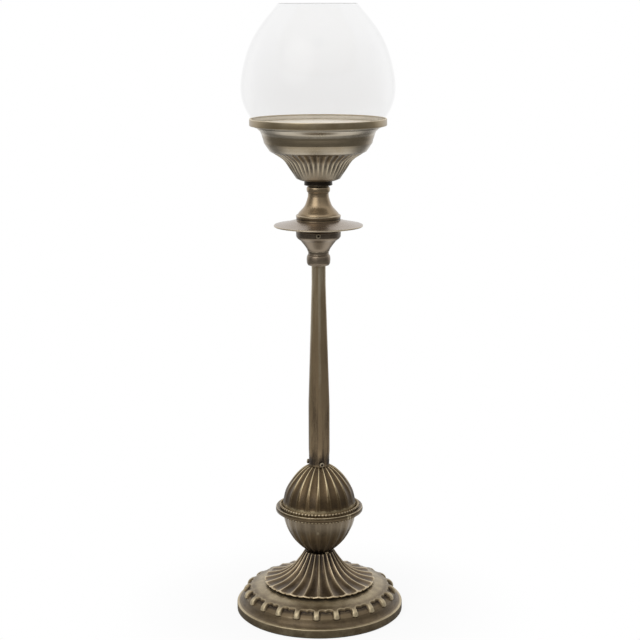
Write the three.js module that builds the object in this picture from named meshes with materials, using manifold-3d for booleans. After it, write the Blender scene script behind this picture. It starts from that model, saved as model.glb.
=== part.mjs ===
// Candle stand: a cast foot, a fluted ball, a tapered six-sided column and a fluted bowl, all
// clamped on one threaded rod, with a loose glass globe that stands in the tray at the top.
// Millimetres, +Z up, origin on the table under the axis, front towards -Y.
// Angles are measured from the front towards +X.

import * as THREE from 'three';
import { mergeVertices } from 'three/addons/utils/BufferGeometryUtils.js';
import Module from 'manifold-3d';

// Clearances
const seatGap = 0.15; // between faces that rest on each other
const fitGap = 0.3; // round a piece in its hole

// Clamp: threaded rod, nuts and tubes
const rodRadius = 3;
const rodOverhang = 1.2; // rod that shows past a nut
const nutSides = 6;
const nutAcrossFlats = 10;
const nutHeight = 5;
const washerRadius = 9;
const washerThickness = 1.6;
const spacerWall = 3.4;

// Socket screws
const screwHeadRadius = 2.2;
const screwHeadHeight = 1.9;
const screwShankRadius = 1.3;
const screwSocketRadius = 1.1;
const screwSocketDepth = 1.3;
const screwsPerRing = 3;

// Felt pad and base
const feltThickness = 1.2;
const feltInset = 1.6;
const plateauRadius = 64.5;
const shoulderWidth = 7.5; // plateau edge to the foot of the lugs
const coveWidth = 8; // foot of the lugs to the rim
const rimHeight = 7.6;
const rimRound = 1.2;
const coveRise = 6;
const shoulderRise = 9.2;
const slopeRise = 3.2; // of the middle of the plateau
const slopeInset = 1.5;
const slopeWidth = 9.5; // in plan
const baseWall = 4;
const lugCount = 24;
const lugAngle = -2.4;
const lugWidth = 5.8;
const lugStand = 2.6; // of a lug above the hollow shoulder
const lugTipRise = 1.6; // of a lug's tip above the cove

// Skirt
const skirtLift = 2.5; // of the rim above the base
const skirtHeight = 29;
const skirtRimWidth = 38.7; // neck to rim, in plan
const skirtSheet = 1.3;
const skirtFlutes = 24;
const skirtFluteAngle = -1.2;
const skirtFluteDepth = 1.3;
const neckLedge = 3.5; // of the neck outside the ball's foot

// Ball
const ballFootRadius = 10.8;
const ballSwell = 24.7; // foot of the ball to its widest
const lowerBallHeight = 41.3;
const upperBallHeight = 40.8;
const ballSheet = 2;
const ballFlutes = 20;
const ballFluteAngle = -1.6;
const ballFluteDepth = 1.1;
const flangeThickness = 1.5;
const flangeWidth = 4.4;
const hoopWall = 1.7;
const hoopLip = 0.6;
const hoopLipReach = 0.9;
const hoopSplitAngle = 42.7;
const hoopSplitWidth = 1;
const beadWireRadius = 1.15;

// Column
const columnSides = 6;
const columnAngle = 5; // of the edge that faces the front
const columnWall = 1.2;
const columnFlare = 3.25; // foot wider than the top, at the middle of a side
const columnRoundHeight = 4;
const columnSwageHeight = 12; // round foot to six sides
const columnFootHeight = 60;
const columnTaperHeight = 116;
const columnNeckHeight = 17.5;
const columnLanding = 0.9; // of the dome's top round the column
const bushWall = 1.65;
const footBushHeight = 16;
const topBushHeight = 14;
const columnScrewLift = 0.5; // of a screw's head above the dome
const columnScrewAngle = 14;

// Collar, drip disc and spindle
const collarSocketDepth = 8;
const collarWall = 2.1;
const collarBeadSwell = 1.25;
const collarBeadHeight = 10.6;
const collarNeckHeight = 3;
const collarBellHeight = 14;
const collarBandHeight = 5.3;
const collarBandWidth = 11.1; // neck to band
const collarScrewAngle = 0;
const spigotRadius = 7;
const spigotReach = 8; // of the spindle's spigot into the collar
const discReach = 20.7; // of the disc beyond the collar's band
const discEdge = 2;
const discDrop = 3.2; // of the edge's top below the hub's top
const discHubHeight = 9.2;
const spindleBandHeight = 5;
const spindleConeHeight = 17;
const spindleNeckRadius = 9.7;
const spindleNeckHeight = 4;
const spindleRingSwell = 1.2;
const spindleRingHeight = 5;
const spindleTopHeight = 1.3;

// Bowl
const cupFootRadius = 13.4;
const cupFootHeight = 4;
const cupShelf = 6.2; // foot to the start of the flutes, in plan
const cupShelfRise = 2.2;
const cupFlare = 23.5; // flutes, in plan
const cupFluteHeight = 25.1;
const cupSheet = 2;
const cupFloor = 3;
const cupFlutes = 40;
const cupFluteDepth = 0.9;
const bowlBandHeight = 7.4;
const bowlBandWidth = 6;
const bowlBellyHeight = 6;
const bowlBellyWidth = 1.9;
const bowlCoveHeight = 9.6;
const bowlCoveWidth = 6.6;
const bowlSheet = 1.8;
const trayOverhang = 5.4; // of the tray's rim beyond the bowl
const trayLip = 1.3;
const trayLipHeight = 4.6;
const trayFloor = 2;
const trayWrenchRoom = 3.2; // round the nut in the tray's dimple
const trayNutCover = 1.8; // of the floor above the rod's end
const candleClear = 2; // between the glass and the floor a candle stands on

// Glass globe
const glassWall = 2.4;
const glassFootFlare = 1; // of the glass inside the tray's lip
const glassSwell = 8.6; // lip to the widest
const glassMouthRadius = 35.2;
const glassSwellRise = 24.2; // lip to the widest
const glassDomeRise = 79.4; // widest to the mouth

// Facets round each kind of piece
const fineSegments = 40;
const roundSegments = 36;
const stemSegments = 24;
const smallSegments = 12;
const screwSegments = 8;
const segmentsPerFlute = 3;
const segmentsPerNarrowFlute = 2;

// Radii that follow from the sizes above
const boreRadius = rodRadius + fitGap;
const spacerRadius = boreRadius + spacerWall;
const nutCornerRadius = nutAcrossFlats / 2 / Math.cos(Math.PI / nutSides);
const baseRadius = plateauRadius + shoulderWidth + coveWidth;
const ballRadius = ballFootRadius + ballSwell;
const flangeRadius = ballRadius + flangeWidth;
const neckRadius = ballFootRadius + neckLedge;
const skirtRimRadius = neckRadius + skirtRimWidth;
const topBushRadius = boreRadius + bushWall;
const columnTopInside = topBushRadius + fitGap;
const columnFootInside = columnTopInside + columnFlare;
const columnTopApothem = columnTopInside + columnWall;
const columnFootApothem = columnFootInside + columnWall;
const footBushRadius = columnFootInside - fitGap;
const domeTopRadius = columnFootApothem + columnLanding;
const columnCorner = 1 / Math.cos(Math.PI / columnSides); // corner radius over apothem
const collarSocketRadius = columnTopApothem * columnCorner + fitGap;
const collarNeckRadius = collarSocketRadius + collarWall;
const collarBandRadius = collarNeckRadius + collarBandWidth;
const discRadius = collarBandRadius + discReach;
const cupFluteFoot = cupFootRadius + cupShelf;
const cupRimRadius = cupFluteFoot + cupFlare;
const bowlFootRadius = cupRimRadius + fitGap;
const bowlBellyRadius = bowlFootRadius + bowlBandWidth;
const bowlCoveRadius = bowlBellyRadius + bowlBellyWidth;
const bowlRimRadius = bowlCoveRadius + bowlCoveWidth;
const trayRadius = bowlRimRadius + trayOverhang;
const trayInside = trayRadius - trayLip;
const dimpleRadius = nutCornerRadius + trayWrenchRoom;
const candleFloorRadius = trayInside - fitGap - glassFootFlare - glassWall - candleClear;

// Heights of the stack, from the table up
const baseFoot = feltThickness + seatGap;
const rimTop = baseFoot + rimHeight;
const coveTop = rimTop + coveRise;
const plateauTop = coveTop + shoulderRise;
const hubTop = plateauTop + slopeRise;
const hubUnder = plateauTop - baseWall;
const skirtRim = hubTop + skirtLift;
const neckTop = skirtRim + skirtHeight;
const lowerBallFoot = neckTop + seatGap;
const lowerFlange = lowerBallFoot + lowerBallHeight;
const lowerFlangeTop = lowerFlange + flangeThickness;
const upperFlange = lowerFlangeTop + seatGap;
const upperFlangeTop = upperFlange + flangeThickness;
const domeTop = upperFlangeTop + upperBallHeight;
const columnFoot = domeTop + seatGap;
const columnScrewHeight = columnFoot + screwHeadRadius + columnScrewLift;
const columnTop = columnFoot + columnFootHeight + columnTaperHeight + columnNeckHeight + collarSocketDepth;
const collarFoot = columnTop + seatGap - collarSocketDepth;
const collarBandFoot = collarFoot + collarBeadHeight + collarNeckHeight + collarBellHeight;
const collarTop = collarBandFoot + collarBandHeight;
const collarScrewHeight = collarBandFoot + collarBandHeight / 2;
const discFoot = collarTop + seatGap;
const discTop = discFoot + discHubHeight;
const spindleFoot = discTop + seatGap;
const spindleNeck = spindleFoot + spindleBandHeight + spindleConeHeight;
const spindleRing = spindleNeck + spindleNeckHeight;
const spindleTop = spindleRing + spindleRingHeight + spindleTopHeight;
const cupFoot = spindleTop + seatGap;
const cupFluteStart = cupFoot + cupFootHeight + cupShelfRise;
const cupTop = cupFluteStart + cupFluteHeight;
const bowlFoot = cupTop + seatGap;
const bowlTop = bowlFoot + bowlBandHeight + bowlBellyHeight + bowlCoveHeight;
const trayUnder = bowlTop + seatGap;
const trayTop = trayUnder + trayFloor;
const lipTop = trayTop + trayLipHeight;
const rodTop = trayTop - trayNutCover;
const trayNutFoot = rodTop - rodOverhang - nutHeight;
const dimpleTop = trayNutFoot - seatGap;
const dimpleUnder = dimpleTop - trayFloor;
const washerFoot = hubUnder - seatGap - washerThickness;
const baseNutFoot = washerFoot - seatGap - nutHeight;
const rodFoot = baseNutFoot - rodOverhang;

const degrees = Math.PI / 180;
const wasm = await Module();
wasm.setup();

// A turned piece. Each outline point is [radius, height, depth], where depth is how far the piece
// is pressed in at the bottom of a flute. The outline runs anticlockwise and closes on itself.
function turn(outline, segments, startAngle = 0, radiusAt = (point) => point[0]) {
  const closed = [...outline, outline[0]];
  const points = closed.map(([radius, height]) => new THREE.Vector2(radius, height));
  const geometry = new THREE.LatheGeometry(points, segments, startAngle * degrees);
  const position = geometry.attributes.position;
  for (let index = 0; index < position.count; index += 1) {
    const step = Math.floor(index / closed.length) % segments;
    const angle = startAngle * degrees + (step / segments) * 2 * Math.PI;
    const radius = radiusAt(closed[index % closed.length], step, angle);
    position.setX(index, radius * Math.sin(angle));
    position.setZ(index, radius * Math.cos(angle));
  }
  return geometry.rotateX(Math.PI / 2);
}

// A turned piece pressed into hollow flutes between sharp ridges.
function turnFluted(outline, flutes, perFlute, startAngle) {
  const pressed = ([radius, , depth = 0], step) => {
    const across = (2 * (step % perFlute)) / perFlute - 1;
    return radius - depth * (1 - across * across);
  };
  return turn(outline, flutes * perFlute, startAngle, pressed);
}

// An outline with the depth of its flutes at each point, from a formula of the share of the way along.
function withFlutes(outline, depthAt) {
  const last = outline.length - 1;
  return outline.map(([radius, height], index) => [radius, height, depthAt(index / last)]);
}

// Points of a smooth outline through a few given points.
function smooth(points, count) {
  const through = points.map(([radius, height]) => new THREE.Vector2(radius, height));
  const curve = new THREE.SplineCurve(through);
  return curve.getPoints(count).map(({ x, y }) => [x, y]);
}

// Points between two ends, where each shape point is [share of the width, share of the rise].
function between([radius, height], [endRadius, endHeight], shape, count) {
  const width = endRadius - radius;
  const rise = endHeight - height;
  const shares = [[0, 0], ...shape, [1, 1]];
  return smooth(shares.map(([across, up]) => [radius + width * across, height + rise * up]), count);
}

// A round moulding on a stem, bulging outwards by swell.
function moulding(radius, swell, foot, height, count) {
  const points = [];
  for (let step = 0; step <= count; step += 1) {
    const turned = (Math.PI * step) / count;
    points.push([radius + swell * Math.sin(turned), foot + (height * (1 - Math.cos(turned))) / 2]);
  }
  return points;
}

// A plain ring on the rod: a washer, a bush or a spacer tube.
function makeSleeve(radius, foot, top) {
  const outline = [[boreRadius, foot], [radius, foot], [radius, top], [boreRadius, top]];
  return turn(outline, smallSegments);
}

// A spacer tube that stands clear of the faces at both its ends by the seat gap.
function makeSpacer(foot, top) {
  return makeSleeve(spacerRadius, foot + seatGap, top - seatGap);
}

function toSolid(geometry) {
  const bare = geometry.clone();
  bare.deleteAttribute('normal');
  bare.deleteAttribute('uv');
  const merged = mergeVertices(bare, 1e-3);
  const vertProperties = new Float32Array(merged.attributes.position.array);
  const triVerts = new Uint32Array(merged.index.array);
  return new wasm.Manifold(new wasm.Mesh({ numProp: 3, vertProperties, triVerts }));
}

function toGeometry(solid) {
  const mesh = solid.getMesh();
  const geometry = new THREE.BufferGeometry();
  geometry.setAttribute('position', new THREE.BufferAttribute(mesh.vertProperties, 3));
  geometry.setIndex(new THREE.BufferAttribute(mesh.triVerts, 1));
  geometry.computeVertexNormals();
  return geometry;
}

function cut(geometry, tools) {
  return toGeometry(tools.reduce((solid, tool) => solid.subtract(toSolid(tool)), toSolid(geometry)));
}

function join(geometry, pieces) {
  return toGeometry(pieces.reduce((solid, piece) => solid.add(toSolid(piece)), toSolid(geometry)));
}

// Turns a geometry made along +Z so that it points out from the axis at an angle and a height.
function aimOut(geometry, angle, height) {
  return geometry.rotateX(Math.PI / 2).translate(0, 0, height).rotateZ(angle * degrees);
}

function ringAngles(firstAngle, count) {
  return Array.from({ length: count }, (_, index) => firstAngle + (index * 360) / count);
}

// Flutes that fade to nothing at both ends.
function runOut(share) {
  return Math.sqrt(Math.sin(Math.PI * share));
}

function makeFeltPad() {
  const radius = baseRadius - feltInset;
  const height = feltThickness;
  return new THREE.CylinderGeometry(radius, radius, height, fineSegments)
    .rotateX(Math.PI / 2)
    .translate(0, 0, height / 2);
}

// One lug: a tongue from the edge of the plateau down over the hollow shoulder.
function makeLug(angle) {
  const inner = plateauRadius - shoulderWidth;
  const tip = plateauRadius + shoulderWidth + lugStand / 2;
  const outline = new THREE.Shape();
  outline.moveTo(inner, coveTop);
  outline.lineTo(tip - lugStand, coveTop);
  outline.lineTo(tip, coveTop + lugTipRise);
  outline.quadraticCurveTo(tip, plateauTop, plateauRadius, plateauTop);
  outline.lineTo(inner, plateauTop);
  const frame = new THREE.Matrix4().makeBasis(
    new THREE.Vector3(0, -1, 0),
    new THREE.Vector3(0, 0, 1),
    new THREE.Vector3(-1, 0, 0),
  );
  return new THREE.ExtrudeGeometry(outline, { depth: lugWidth, bevelEnabled: false, curveSegments: 2 })
    .translate(0, 0, -lugWidth / 2)
    .applyMatrix4(frame)
    .rotateZ(angle * degrees);
}

function makeBase() {
  const shoulderFoot = plateauRadius + shoulderWidth;
  const hollow = [[0.35, 0.3], [0.75, 0.62]];
  const cove = [[0.4, 0.14], [0.8, 0.55]];
  const slopeFoot = plateauRadius - slopeInset;
  const body = turn([
    [boreRadius, hubUnder],
    [plateauRadius - baseWall, hubUnder],
    [shoulderFoot - baseWall, rimTop],
    [baseRadius - baseWall, rimTop - baseWall / 2],
    [baseRadius - baseWall, baseFoot],
    [baseRadius, baseFoot],
    [baseRadius, rimTop - rimRound],
    ...between([baseRadius - rimRound, rimTop], [shoulderFoot, coveTop], cove, 3),
    ...between([shoulderFoot - lugStand / 2, coveTop], [plateauRadius - lugStand, plateauTop], hollow, 2),
    [slopeFoot, plateauTop],
    [slopeFoot - slopeWidth, hubTop],
    [boreRadius, hubTop],
  ], fineSegments);
  return join(body, ringAngles(lugAngle, lugCount).map(makeLug));
}

function makeSkirt() {
  const flare = [[0.15, 0.32], [0.345, 0.634], [0.63, 0.87]];
  const outer = between([neckRadius, neckTop], [skirtRimRadius, skirtRim + skirtSheet], flare, 5);
  const outside = withFlutes(outer, (share) => skirtFluteDepth * Math.min(1, 4 * share));
  const inside = outside.slice(1).map(([radius, height, depth], index) => {
    const share = (index + 1) / (outside.length - 1);
    return [radius - skirtSheet * (1 - share), height - skirtSheet, depth];
  });
  return turnFluted([
    [boreRadius, neckTop - skirtSheet],
    [neckRadius - skirtSheet, neckTop - skirtSheet],
    ...inside,
    ...outside.reverse(),
    [boreRadius, neckTop],
  ], skirtFlutes, segmentsPerFlute, skirtFluteAngle);
}

function makeLowerHalfBall() {
  const swell = [[0.3, 0.14], [0.63, 0.37], [0.875, 0.66]];
  const outer = between([ballFootRadius, lowerBallFoot], [ballRadius, lowerFlange], swell, 6);
  const outside = withFlutes(outer, (share) => ballFluteDepth * runOut(share));
  return turnFluted([
    [boreRadius, lowerBallFoot],
    ...outside,
    [flangeRadius, lowerFlange],
    [flangeRadius, lowerFlangeTop],
    [ballRadius - ballSheet, lowerFlangeTop],
    ...insideOf(outer, ballSheet).reverse(),
    [ballFootRadius, lowerBallFoot + ballSheet],
    [boreRadius, lowerBallFoot + ballSheet],
  ], ballFlutes, segmentsPerFlute, ballFluteAngle);
}

// Two points of a shell's inner outline, a wall inside its outer outline.
function insideOf(outer, wall) {
  const shares = [0.3, 0.7];
  return shares.map((share) => {
    const [radius, height] = outer[Math.round(share * (outer.length - 1))];
    return [radius - 2 * wall, height];
  });
}

function makeUpperHalfBall() {
  const swell = [[0.25, 0.1], [0.587, 0.322], [0.865, 0.616]];
  const outer = between([domeTopRadius, domeTop], [ballRadius, upperFlangeTop], swell, 6);
  const outside = withFlutes(outer, (share) => ballFluteDepth * runOut(share));
  return turnFluted([
    [boreRadius, domeTop - ballSheet],
    [domeTopRadius, domeTop - ballSheet],
    ...insideOf(outer, ballSheet),
    [ballRadius - ballSheet, upperFlange],
    [flangeRadius, upperFlange],
    [flangeRadius, upperFlangeTop],
    ...outside.reverse(),
    [boreRadius, domeTop],
  ], ballFlutes, segmentsPerFlute, ballFluteAngle);
}

// Channel-shaped ring over both flanges, cut through at one side so that it can be sprung on.
function makeBallHoop() {
  const slotRadius = flangeRadius + fitGap;
  const slotFoot = lowerFlange - seatGap;
  const slotTop = upperFlangeTop + seatGap;
  const foot = slotFoot - hoopLip;
  const height = slotTop + hoopLip - foot;
  const lipRadius = flangeRadius - hoopLipReach;
  const ring = turn([
    [lipRadius, foot],
    ...moulding(slotRadius, hoopWall, foot, height, 4),
    [lipRadius, foot + height],
    [lipRadius, slotTop],
    [slotRadius, slotTop],
    [slotRadius, slotFoot],
    [lipRadius, slotFoot],
  ], roundSegments);
  const saw = new THREE.BoxGeometry(hoopSplitWidth, 2 * flangeRadius, 2 * height)
    .translate(0, -flangeRadius, foot + height / 2)
    .rotateZ(hoopSplitAngle * degrees);
  return cut(ring, [saw]);
}

function makeBeadWire(height) {
  const middle = ballRadius + fitGap + beadWireRadius;
  const outline = [];
  const corners = 4;
  for (let corner = 0; corner < corners; corner += 1) {
    const angle = (2 * Math.PI * corner) / corners;
    outline.push([middle + beadWireRadius * Math.cos(angle), height + beadWireRadius * Math.sin(angle)]);
  }
  return turn(outline, roundSegments);
}

// Straight bore with six tapered sides outside, swaged round at the foot.
function makeColumn() {
  const taperFoot = columnFoot + columnFootHeight;
  const taperTop = taperFoot + columnTaperHeight;
  const swageFoot = columnFoot + columnRoundHeight;
  const squareness = (height) => THREE.MathUtils.clamp((height - swageFoot) / columnSwageHeight, 0, 1);
  const sideAngle = (2 * Math.PI) / columnSides;
  const perSide = 4;
  const radiusAt = ([radius, height, isOutside], step) => {
    const offCentre = ((step % perSide) / perSide - 0.5) * sideAngle;
    const flat = radius / Math.cos(offCentre);
    return isOutside ? THREE.MathUtils.lerp(radius, flat, squareness(height)) : radius;
  };
  const outside = true;
  const tubeShape = turn([
    [columnFootInside, columnFoot],
    [columnFootApothem, columnFoot, outside],
    [columnFootApothem, swageFoot, outside],
    [columnFootApothem, swageFoot + columnSwageHeight, outside],
    [columnFootApothem, taperFoot, outside],
    [columnTopApothem, taperTop, outside],
    [columnTopApothem, columnTop, outside],
    [columnTopInside, columnTop],
    [columnTopInside, taperTop],
    [columnFootInside, taperFoot],
  ], columnSides * perSide, columnAngle, radiusAt);
  const holeLength = 2 * columnWall + 2 * fitGap;
  const holes = ringAngles(columnScrewAngle, screwsPerRing).map((angle) => {
    const hole = makeDrill(screwShankRadius + fitGap, columnFootApothem - holeLength / 2, holeLength);
    return aimOut(hole, angle, columnScrewHeight);
  });
  return cut(tubeShape, holes);
}

// Cylinder along +Z from a start height, for drilling.
function makeDrill(radius, start, length) {
  return new THREE.CylinderGeometry(radius, radius, length, screwSegments)
    .rotateX(Math.PI / 2)
    .translate(0, 0, start + length / 2);
}

// Socket screw whose head rests on the face at seatRadius and whose tip stops at tipRadius.
function makeScrew(seatRadius, tipRadius, angle, height) {
  const headTop = seatRadius + screwHeadHeight;
  const points = [
    [0, tipRadius],
    [screwShankRadius, tipRadius],
    [screwShankRadius, seatRadius],
    [screwHeadRadius, seatRadius],
    [screwHeadRadius, headTop],
    [screwSocketRadius, headTop],
    [screwSocketRadius, headTop - screwSocketDepth],
    [0, headTop - screwSocketDepth],
  ].map(([radius, along]) => new THREE.Vector2(radius, along));
  const screw = new THREE.LatheGeometry(points, screwSegments).rotateX(Math.PI / 2);
  return aimOut(screw, angle, height);
}

function makeNut(foot) {
  const corners = ringAngles(0, nutSides).map((angle) => new THREE.Vector2(
    nutCornerRadius * Math.cos(angle * degrees),
    nutCornerRadius * Math.sin(angle * degrees),
  ));
  const outline = new THREE.Shape(corners);
  outline.holes.push(new THREE.Path().absarc(0, 0, boreRadius, 0, 2 * Math.PI, true));
  return new THREE.ExtrudeGeometry(outline, { depth: nutHeight, bevelEnabled: false, curveSegments: 8 })
    .translate(0, 0, foot);
}

function makeTieRod() {
  const length = rodTop - rodFoot;
  return new THREE.CylinderGeometry(rodRadius, rodRadius, length, smallSegments)
    .rotateX(Math.PI / 2)
    .translate(0, 0, (rodTop + rodFoot) / 2);
}

function makeLowerCollar() {
  const neckFoot = collarFoot + collarBeadHeight;
  const bellFoot = neckFoot + collarNeckHeight;
  const socketTop = collarFoot + collarSocketDepth;
  const spigotHole = spigotRadius + fitGap;
  const spigotFloor = collarTop - spigotReach - seatGap;
  const bell = [[0.1, 0.14], [0.34, 0.41], [0.6, 0.675], [0.84, 0.8]];
  const collar = turn([
    [collarSocketRadius, collarFoot],
    ...moulding(collarNeckRadius, collarBeadSwell, collarFoot, collarBeadHeight, 5),
    ...between([collarNeckRadius, bellFoot], [collarBandRadius, collarBandFoot], bell, 5),
    [collarBandRadius, collarTop],
    [spigotHole, collarTop],
    [spigotHole, spigotFloor],
    [boreRadius, spigotFloor],
    [boreRadius, socketTop],
    [collarSocketRadius, socketTop],
  ], stemSegments);
  const holes = ringAngles(collarScrewAngle, screwsPerRing).map((angle) => {
    const hole = makeDrill(screwShankRadius + fitGap, spigotRadius, collarBandRadius);
    return aimOut(hole, angle, collarScrewHeight);
  });
  return cut(collar, holes);
}

function makeDripDisc() {
  const hole = spigotRadius + fitGap;
  const lipTopHeight = discTop - discDrop;
  const edge = moulding(discRadius - discEdge / 2, discEdge / 2, lipTopHeight - discEdge, discEdge, 3);
  return turn([
    [hole, discFoot],
    [collarBandRadius, discFoot],
    ...edge,
    [collarBandRadius, discTop],
    [hole, discTop],
  ], roundSegments);
}

function makeSpindle() {
  const bandTop = spindleFoot + spindleBandHeight;
  const cone = [[0.29, 0.22], [0.63, 0.44], [0.82, 0.66]];
  const ringTop = spindleRing + spindleRingHeight;
  const spigotFoot = collarTop - spigotReach;
  return turn([
    [boreRadius, spigotFoot],
    [spigotRadius, spigotFoot],
    [spigotRadius, spindleFoot],
    [collarBandRadius, spindleFoot],
    [collarBandRadius, bandTop],
    ...between([collarBandRadius, bandTop], [spindleNeckRadius, spindleNeck], cone, 4).slice(1),
    ...moulding(spindleNeckRadius, spindleRingSwell, spindleRing, spindleRingHeight, 4),
    [spindleNeckRadius, ringTop + spindleTopHeight],
    [boreRadius, ringTop + spindleTopHeight],
  ], stemSegments);
}

function makeFlutedCup() {
  const floorTop = cupFoot + cupFloor;
  const flare = [[0.24, 0.34], [0.48, 0.67], [0.8, 0.89]];
  const outer = between([cupFluteFoot, cupFluteStart], [cupRimRadius, cupTop], flare, 4);
  const outside = withFlutes(outer, (share) => cupFluteDepth * runOut(share));
  const inset = cupSheet + cupFluteDepth;
  return turnFluted([
    [boreRadius, cupFoot],
    [cupFootRadius, cupFoot],
    [cupFootRadius, cupFoot + cupFootHeight],
    ...outside,
    [cupRimRadius - inset, cupTop],
    [outer[2][0] - inset, outer[2][1]],
    [cupFluteFoot - inset, cupFluteStart + cupSheet / 2],
    [cupFootRadius - inset, floorTop],
    [boreRadius, floorTop],
  ], cupFlutes, segmentsPerNarrowFlute, 0);
}

function makeBowl() {
  const bellyFoot = bowlFoot + bowlBandHeight;
  const coveFoot = bellyFoot + bowlBellyHeight;
  const belly = [[0.7, 0.5]];
  const cove = [[0.14, 0.28], [0.36, 0.6]];
  const outside = [
    ...between([bowlBellyRadius, bellyFoot], [bowlCoveRadius, coveFoot], belly, 2),
    ...between([bowlCoveRadius, coveFoot], [bowlRimRadius, bowlTop], cove, 4).slice(1),
  ];
  const inset = bowlSheet + fitGap;
  const everySecond = outside.filter((_, index) => index % 2 === 0);
  const inside = everySecond.map(([radius, height]) => [radius - inset, height]);
  return turn([
    [bowlFootRadius - inset, bowlFoot],
    [bowlFootRadius, bowlFoot],
    ...outside,
    ...inside.reverse(),
  ], roundSegments);
}

function makeTray() {
  const dimpleOutside = dimpleRadius + trayFloor;
  return turn([
    [boreRadius, dimpleUnder],
    [dimpleOutside, dimpleUnder],
    [dimpleOutside, trayUnder],
    [trayRadius, trayUnder],
    [trayRadius, lipTop],
    [trayInside, lipTop],
    [trayInside, trayTop],
    [candleFloorRadius, trayTop],
    [dimpleRadius, trayTop],
    [dimpleRadius, dimpleTop],
    [boreRadius, dimpleTop],
  ], roundSegments);
}

function makeGlassGlobe() {
  const foot = trayTop + seatGap;
  const lipRadius = trayInside - fitGap;
  const widest = [lipRadius + glassSwell, lipTop + glassSwellRise];
  const mouth = [glassMouthRadius, widest[1] + glassDomeRise];
  const lower = between([lipRadius, lipTop], widest, [[0.33, 0.14], [0.7, 0.44], [0.93, 0.75]], 4);
  const upper = between(widest, mouth, [[0.1, 0.31], [0.379, 0.612], [0.69, 0.81]], 6).slice(1);
  const outside = [[lipRadius - glassFootFlare, foot], ...lower, ...upper];
  const inside = outside.map(([radius, height]) => [radius - glassWall, height]).reverse();
  return turn([...outside, ...inside], roundSegments);
}

const finish = {
  bronze: { color: 0x7d705c, roughness: 0.45, metalness: 0.85 },
  darkBronze: { color: 0x5f503e, roughness: 0.5, metalness: 0.85 },
  paleBronze: { color: 0x968c7a, roughness: 0.45, metalness: 0.8 },
  steel: { color: 0x9a9a96, roughness: 0.35, metalness: 1 },
  felt: { color: 0x2b2622, roughness: 1, metalness: 0 },
  glass: { color: 0xeef2f2, roughness: 0.05, metalness: 0, transparent: true, opacity: 0.3 },
};

const stand = new THREE.Group();

function place(name, geometry, look) {
  const mesh = new THREE.Mesh(geometry, new THREE.MeshStandardMaterial(look));
  mesh.name = name;
  stand.add(mesh);
}

function placeScrews(name, seatRadius, tipRadius, firstAngle, height) {
  ringAngles(firstAngle, screwsPerRing).forEach((angle, index) => {
    const screw = makeScrew(seatRadius + fitGap, tipRadius + fitGap, angle, height);
    place(`${name}_${index + 1}`, screw, finish.darkBronze);
  });
}

// Foot
place('felt_pad', makeFeltPad(), finish.felt);
place('base', makeBase(), finish.bronze);
place('base_washer', makeSleeve(washerRadius, washerFoot, washerFoot + washerThickness), finish.steel);
place('base_nut', makeNut(baseNutFoot), finish.steel);
place('tie_rod', makeTieRod(), finish.steel);
place('skirt_spacer', makeSpacer(hubTop, neckTop - skirtSheet), finish.steel);
place('skirt', makeSkirt(), finish.bronze);

// Ball
place('lower_half_ball', makeLowerHalfBall(), finish.bronze);
place('ball_spacer', makeSpacer(lowerBallFoot + ballSheet, domeTop - ballSheet), finish.steel);
place('upper_half_ball', makeUpperHalfBall(), finish.darkBronze);
place('ball_hoop', makeBallHoop(), finish.bronze);
place('lower_bead_wire', makeBeadWire(lowerFlange - hoopLip - fitGap - beadWireRadius), finish.bronze);
place('upper_bead_wire', makeBeadWire(upperFlangeTop + hoopLip + fitGap + beadWireRadius), finish.paleBronze);

// Column
place('column', makeColumn(), finish.darkBronze);
place('column_foot_bush', makeSleeve(footBushRadius, columnFoot, columnFoot + footBushHeight), finish.steel);
place('column_top_bush', makeSleeve(topBushRadius, columnTop - topBushHeight, columnTop), finish.steel);
placeScrews('column_screw', columnFootApothem, footBushRadius, columnScrewAngle, columnScrewHeight);
place('lower_collar', makeLowerCollar(), finish.bronze);
placeScrews('collar_screw', collarBandRadius, spigotRadius, collarScrewAngle, collarScrewHeight);

// Head
place('drip_disc', makeDripDisc(), finish.paleBronze);
place('spindle', makeSpindle(), finish.bronze);
place('fluted_cup', makeFlutedCup(), finish.bronze);
place('bowl_spacer', makeSpacer(cupFoot + cupFloor, dimpleUnder), finish.steel);
place('bowl', makeBowl(), finish.bronze);
place('tray', makeTray(), finish.bronze);
place('tray_nut', makeNut(trayNutFoot), finish.steel);
place('glass_globe', makeGlassGlobe(), finish.glass);

export default stand;
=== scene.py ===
import math

import bmesh
import bpy
import numpy as np
from mathutils import Matrix, Vector, geometry


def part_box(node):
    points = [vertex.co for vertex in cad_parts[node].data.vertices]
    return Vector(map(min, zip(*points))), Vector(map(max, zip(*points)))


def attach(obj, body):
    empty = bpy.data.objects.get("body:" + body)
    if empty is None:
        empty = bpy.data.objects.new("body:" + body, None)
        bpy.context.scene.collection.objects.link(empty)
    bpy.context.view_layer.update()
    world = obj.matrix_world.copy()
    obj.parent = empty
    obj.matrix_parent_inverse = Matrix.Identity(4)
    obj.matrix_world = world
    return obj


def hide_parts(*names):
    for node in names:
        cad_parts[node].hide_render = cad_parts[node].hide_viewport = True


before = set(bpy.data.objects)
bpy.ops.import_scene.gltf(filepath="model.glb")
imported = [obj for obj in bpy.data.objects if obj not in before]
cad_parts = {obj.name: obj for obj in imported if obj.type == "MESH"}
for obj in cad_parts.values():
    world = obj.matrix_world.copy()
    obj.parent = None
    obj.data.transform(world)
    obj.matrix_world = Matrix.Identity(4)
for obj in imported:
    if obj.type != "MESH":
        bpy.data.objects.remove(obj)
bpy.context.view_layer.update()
scene = bpy.context.scene
scene.view_settings.view_transform = "Standard"
mm = 0.001
print("frame loaded,", len(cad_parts), "nodes")


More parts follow.
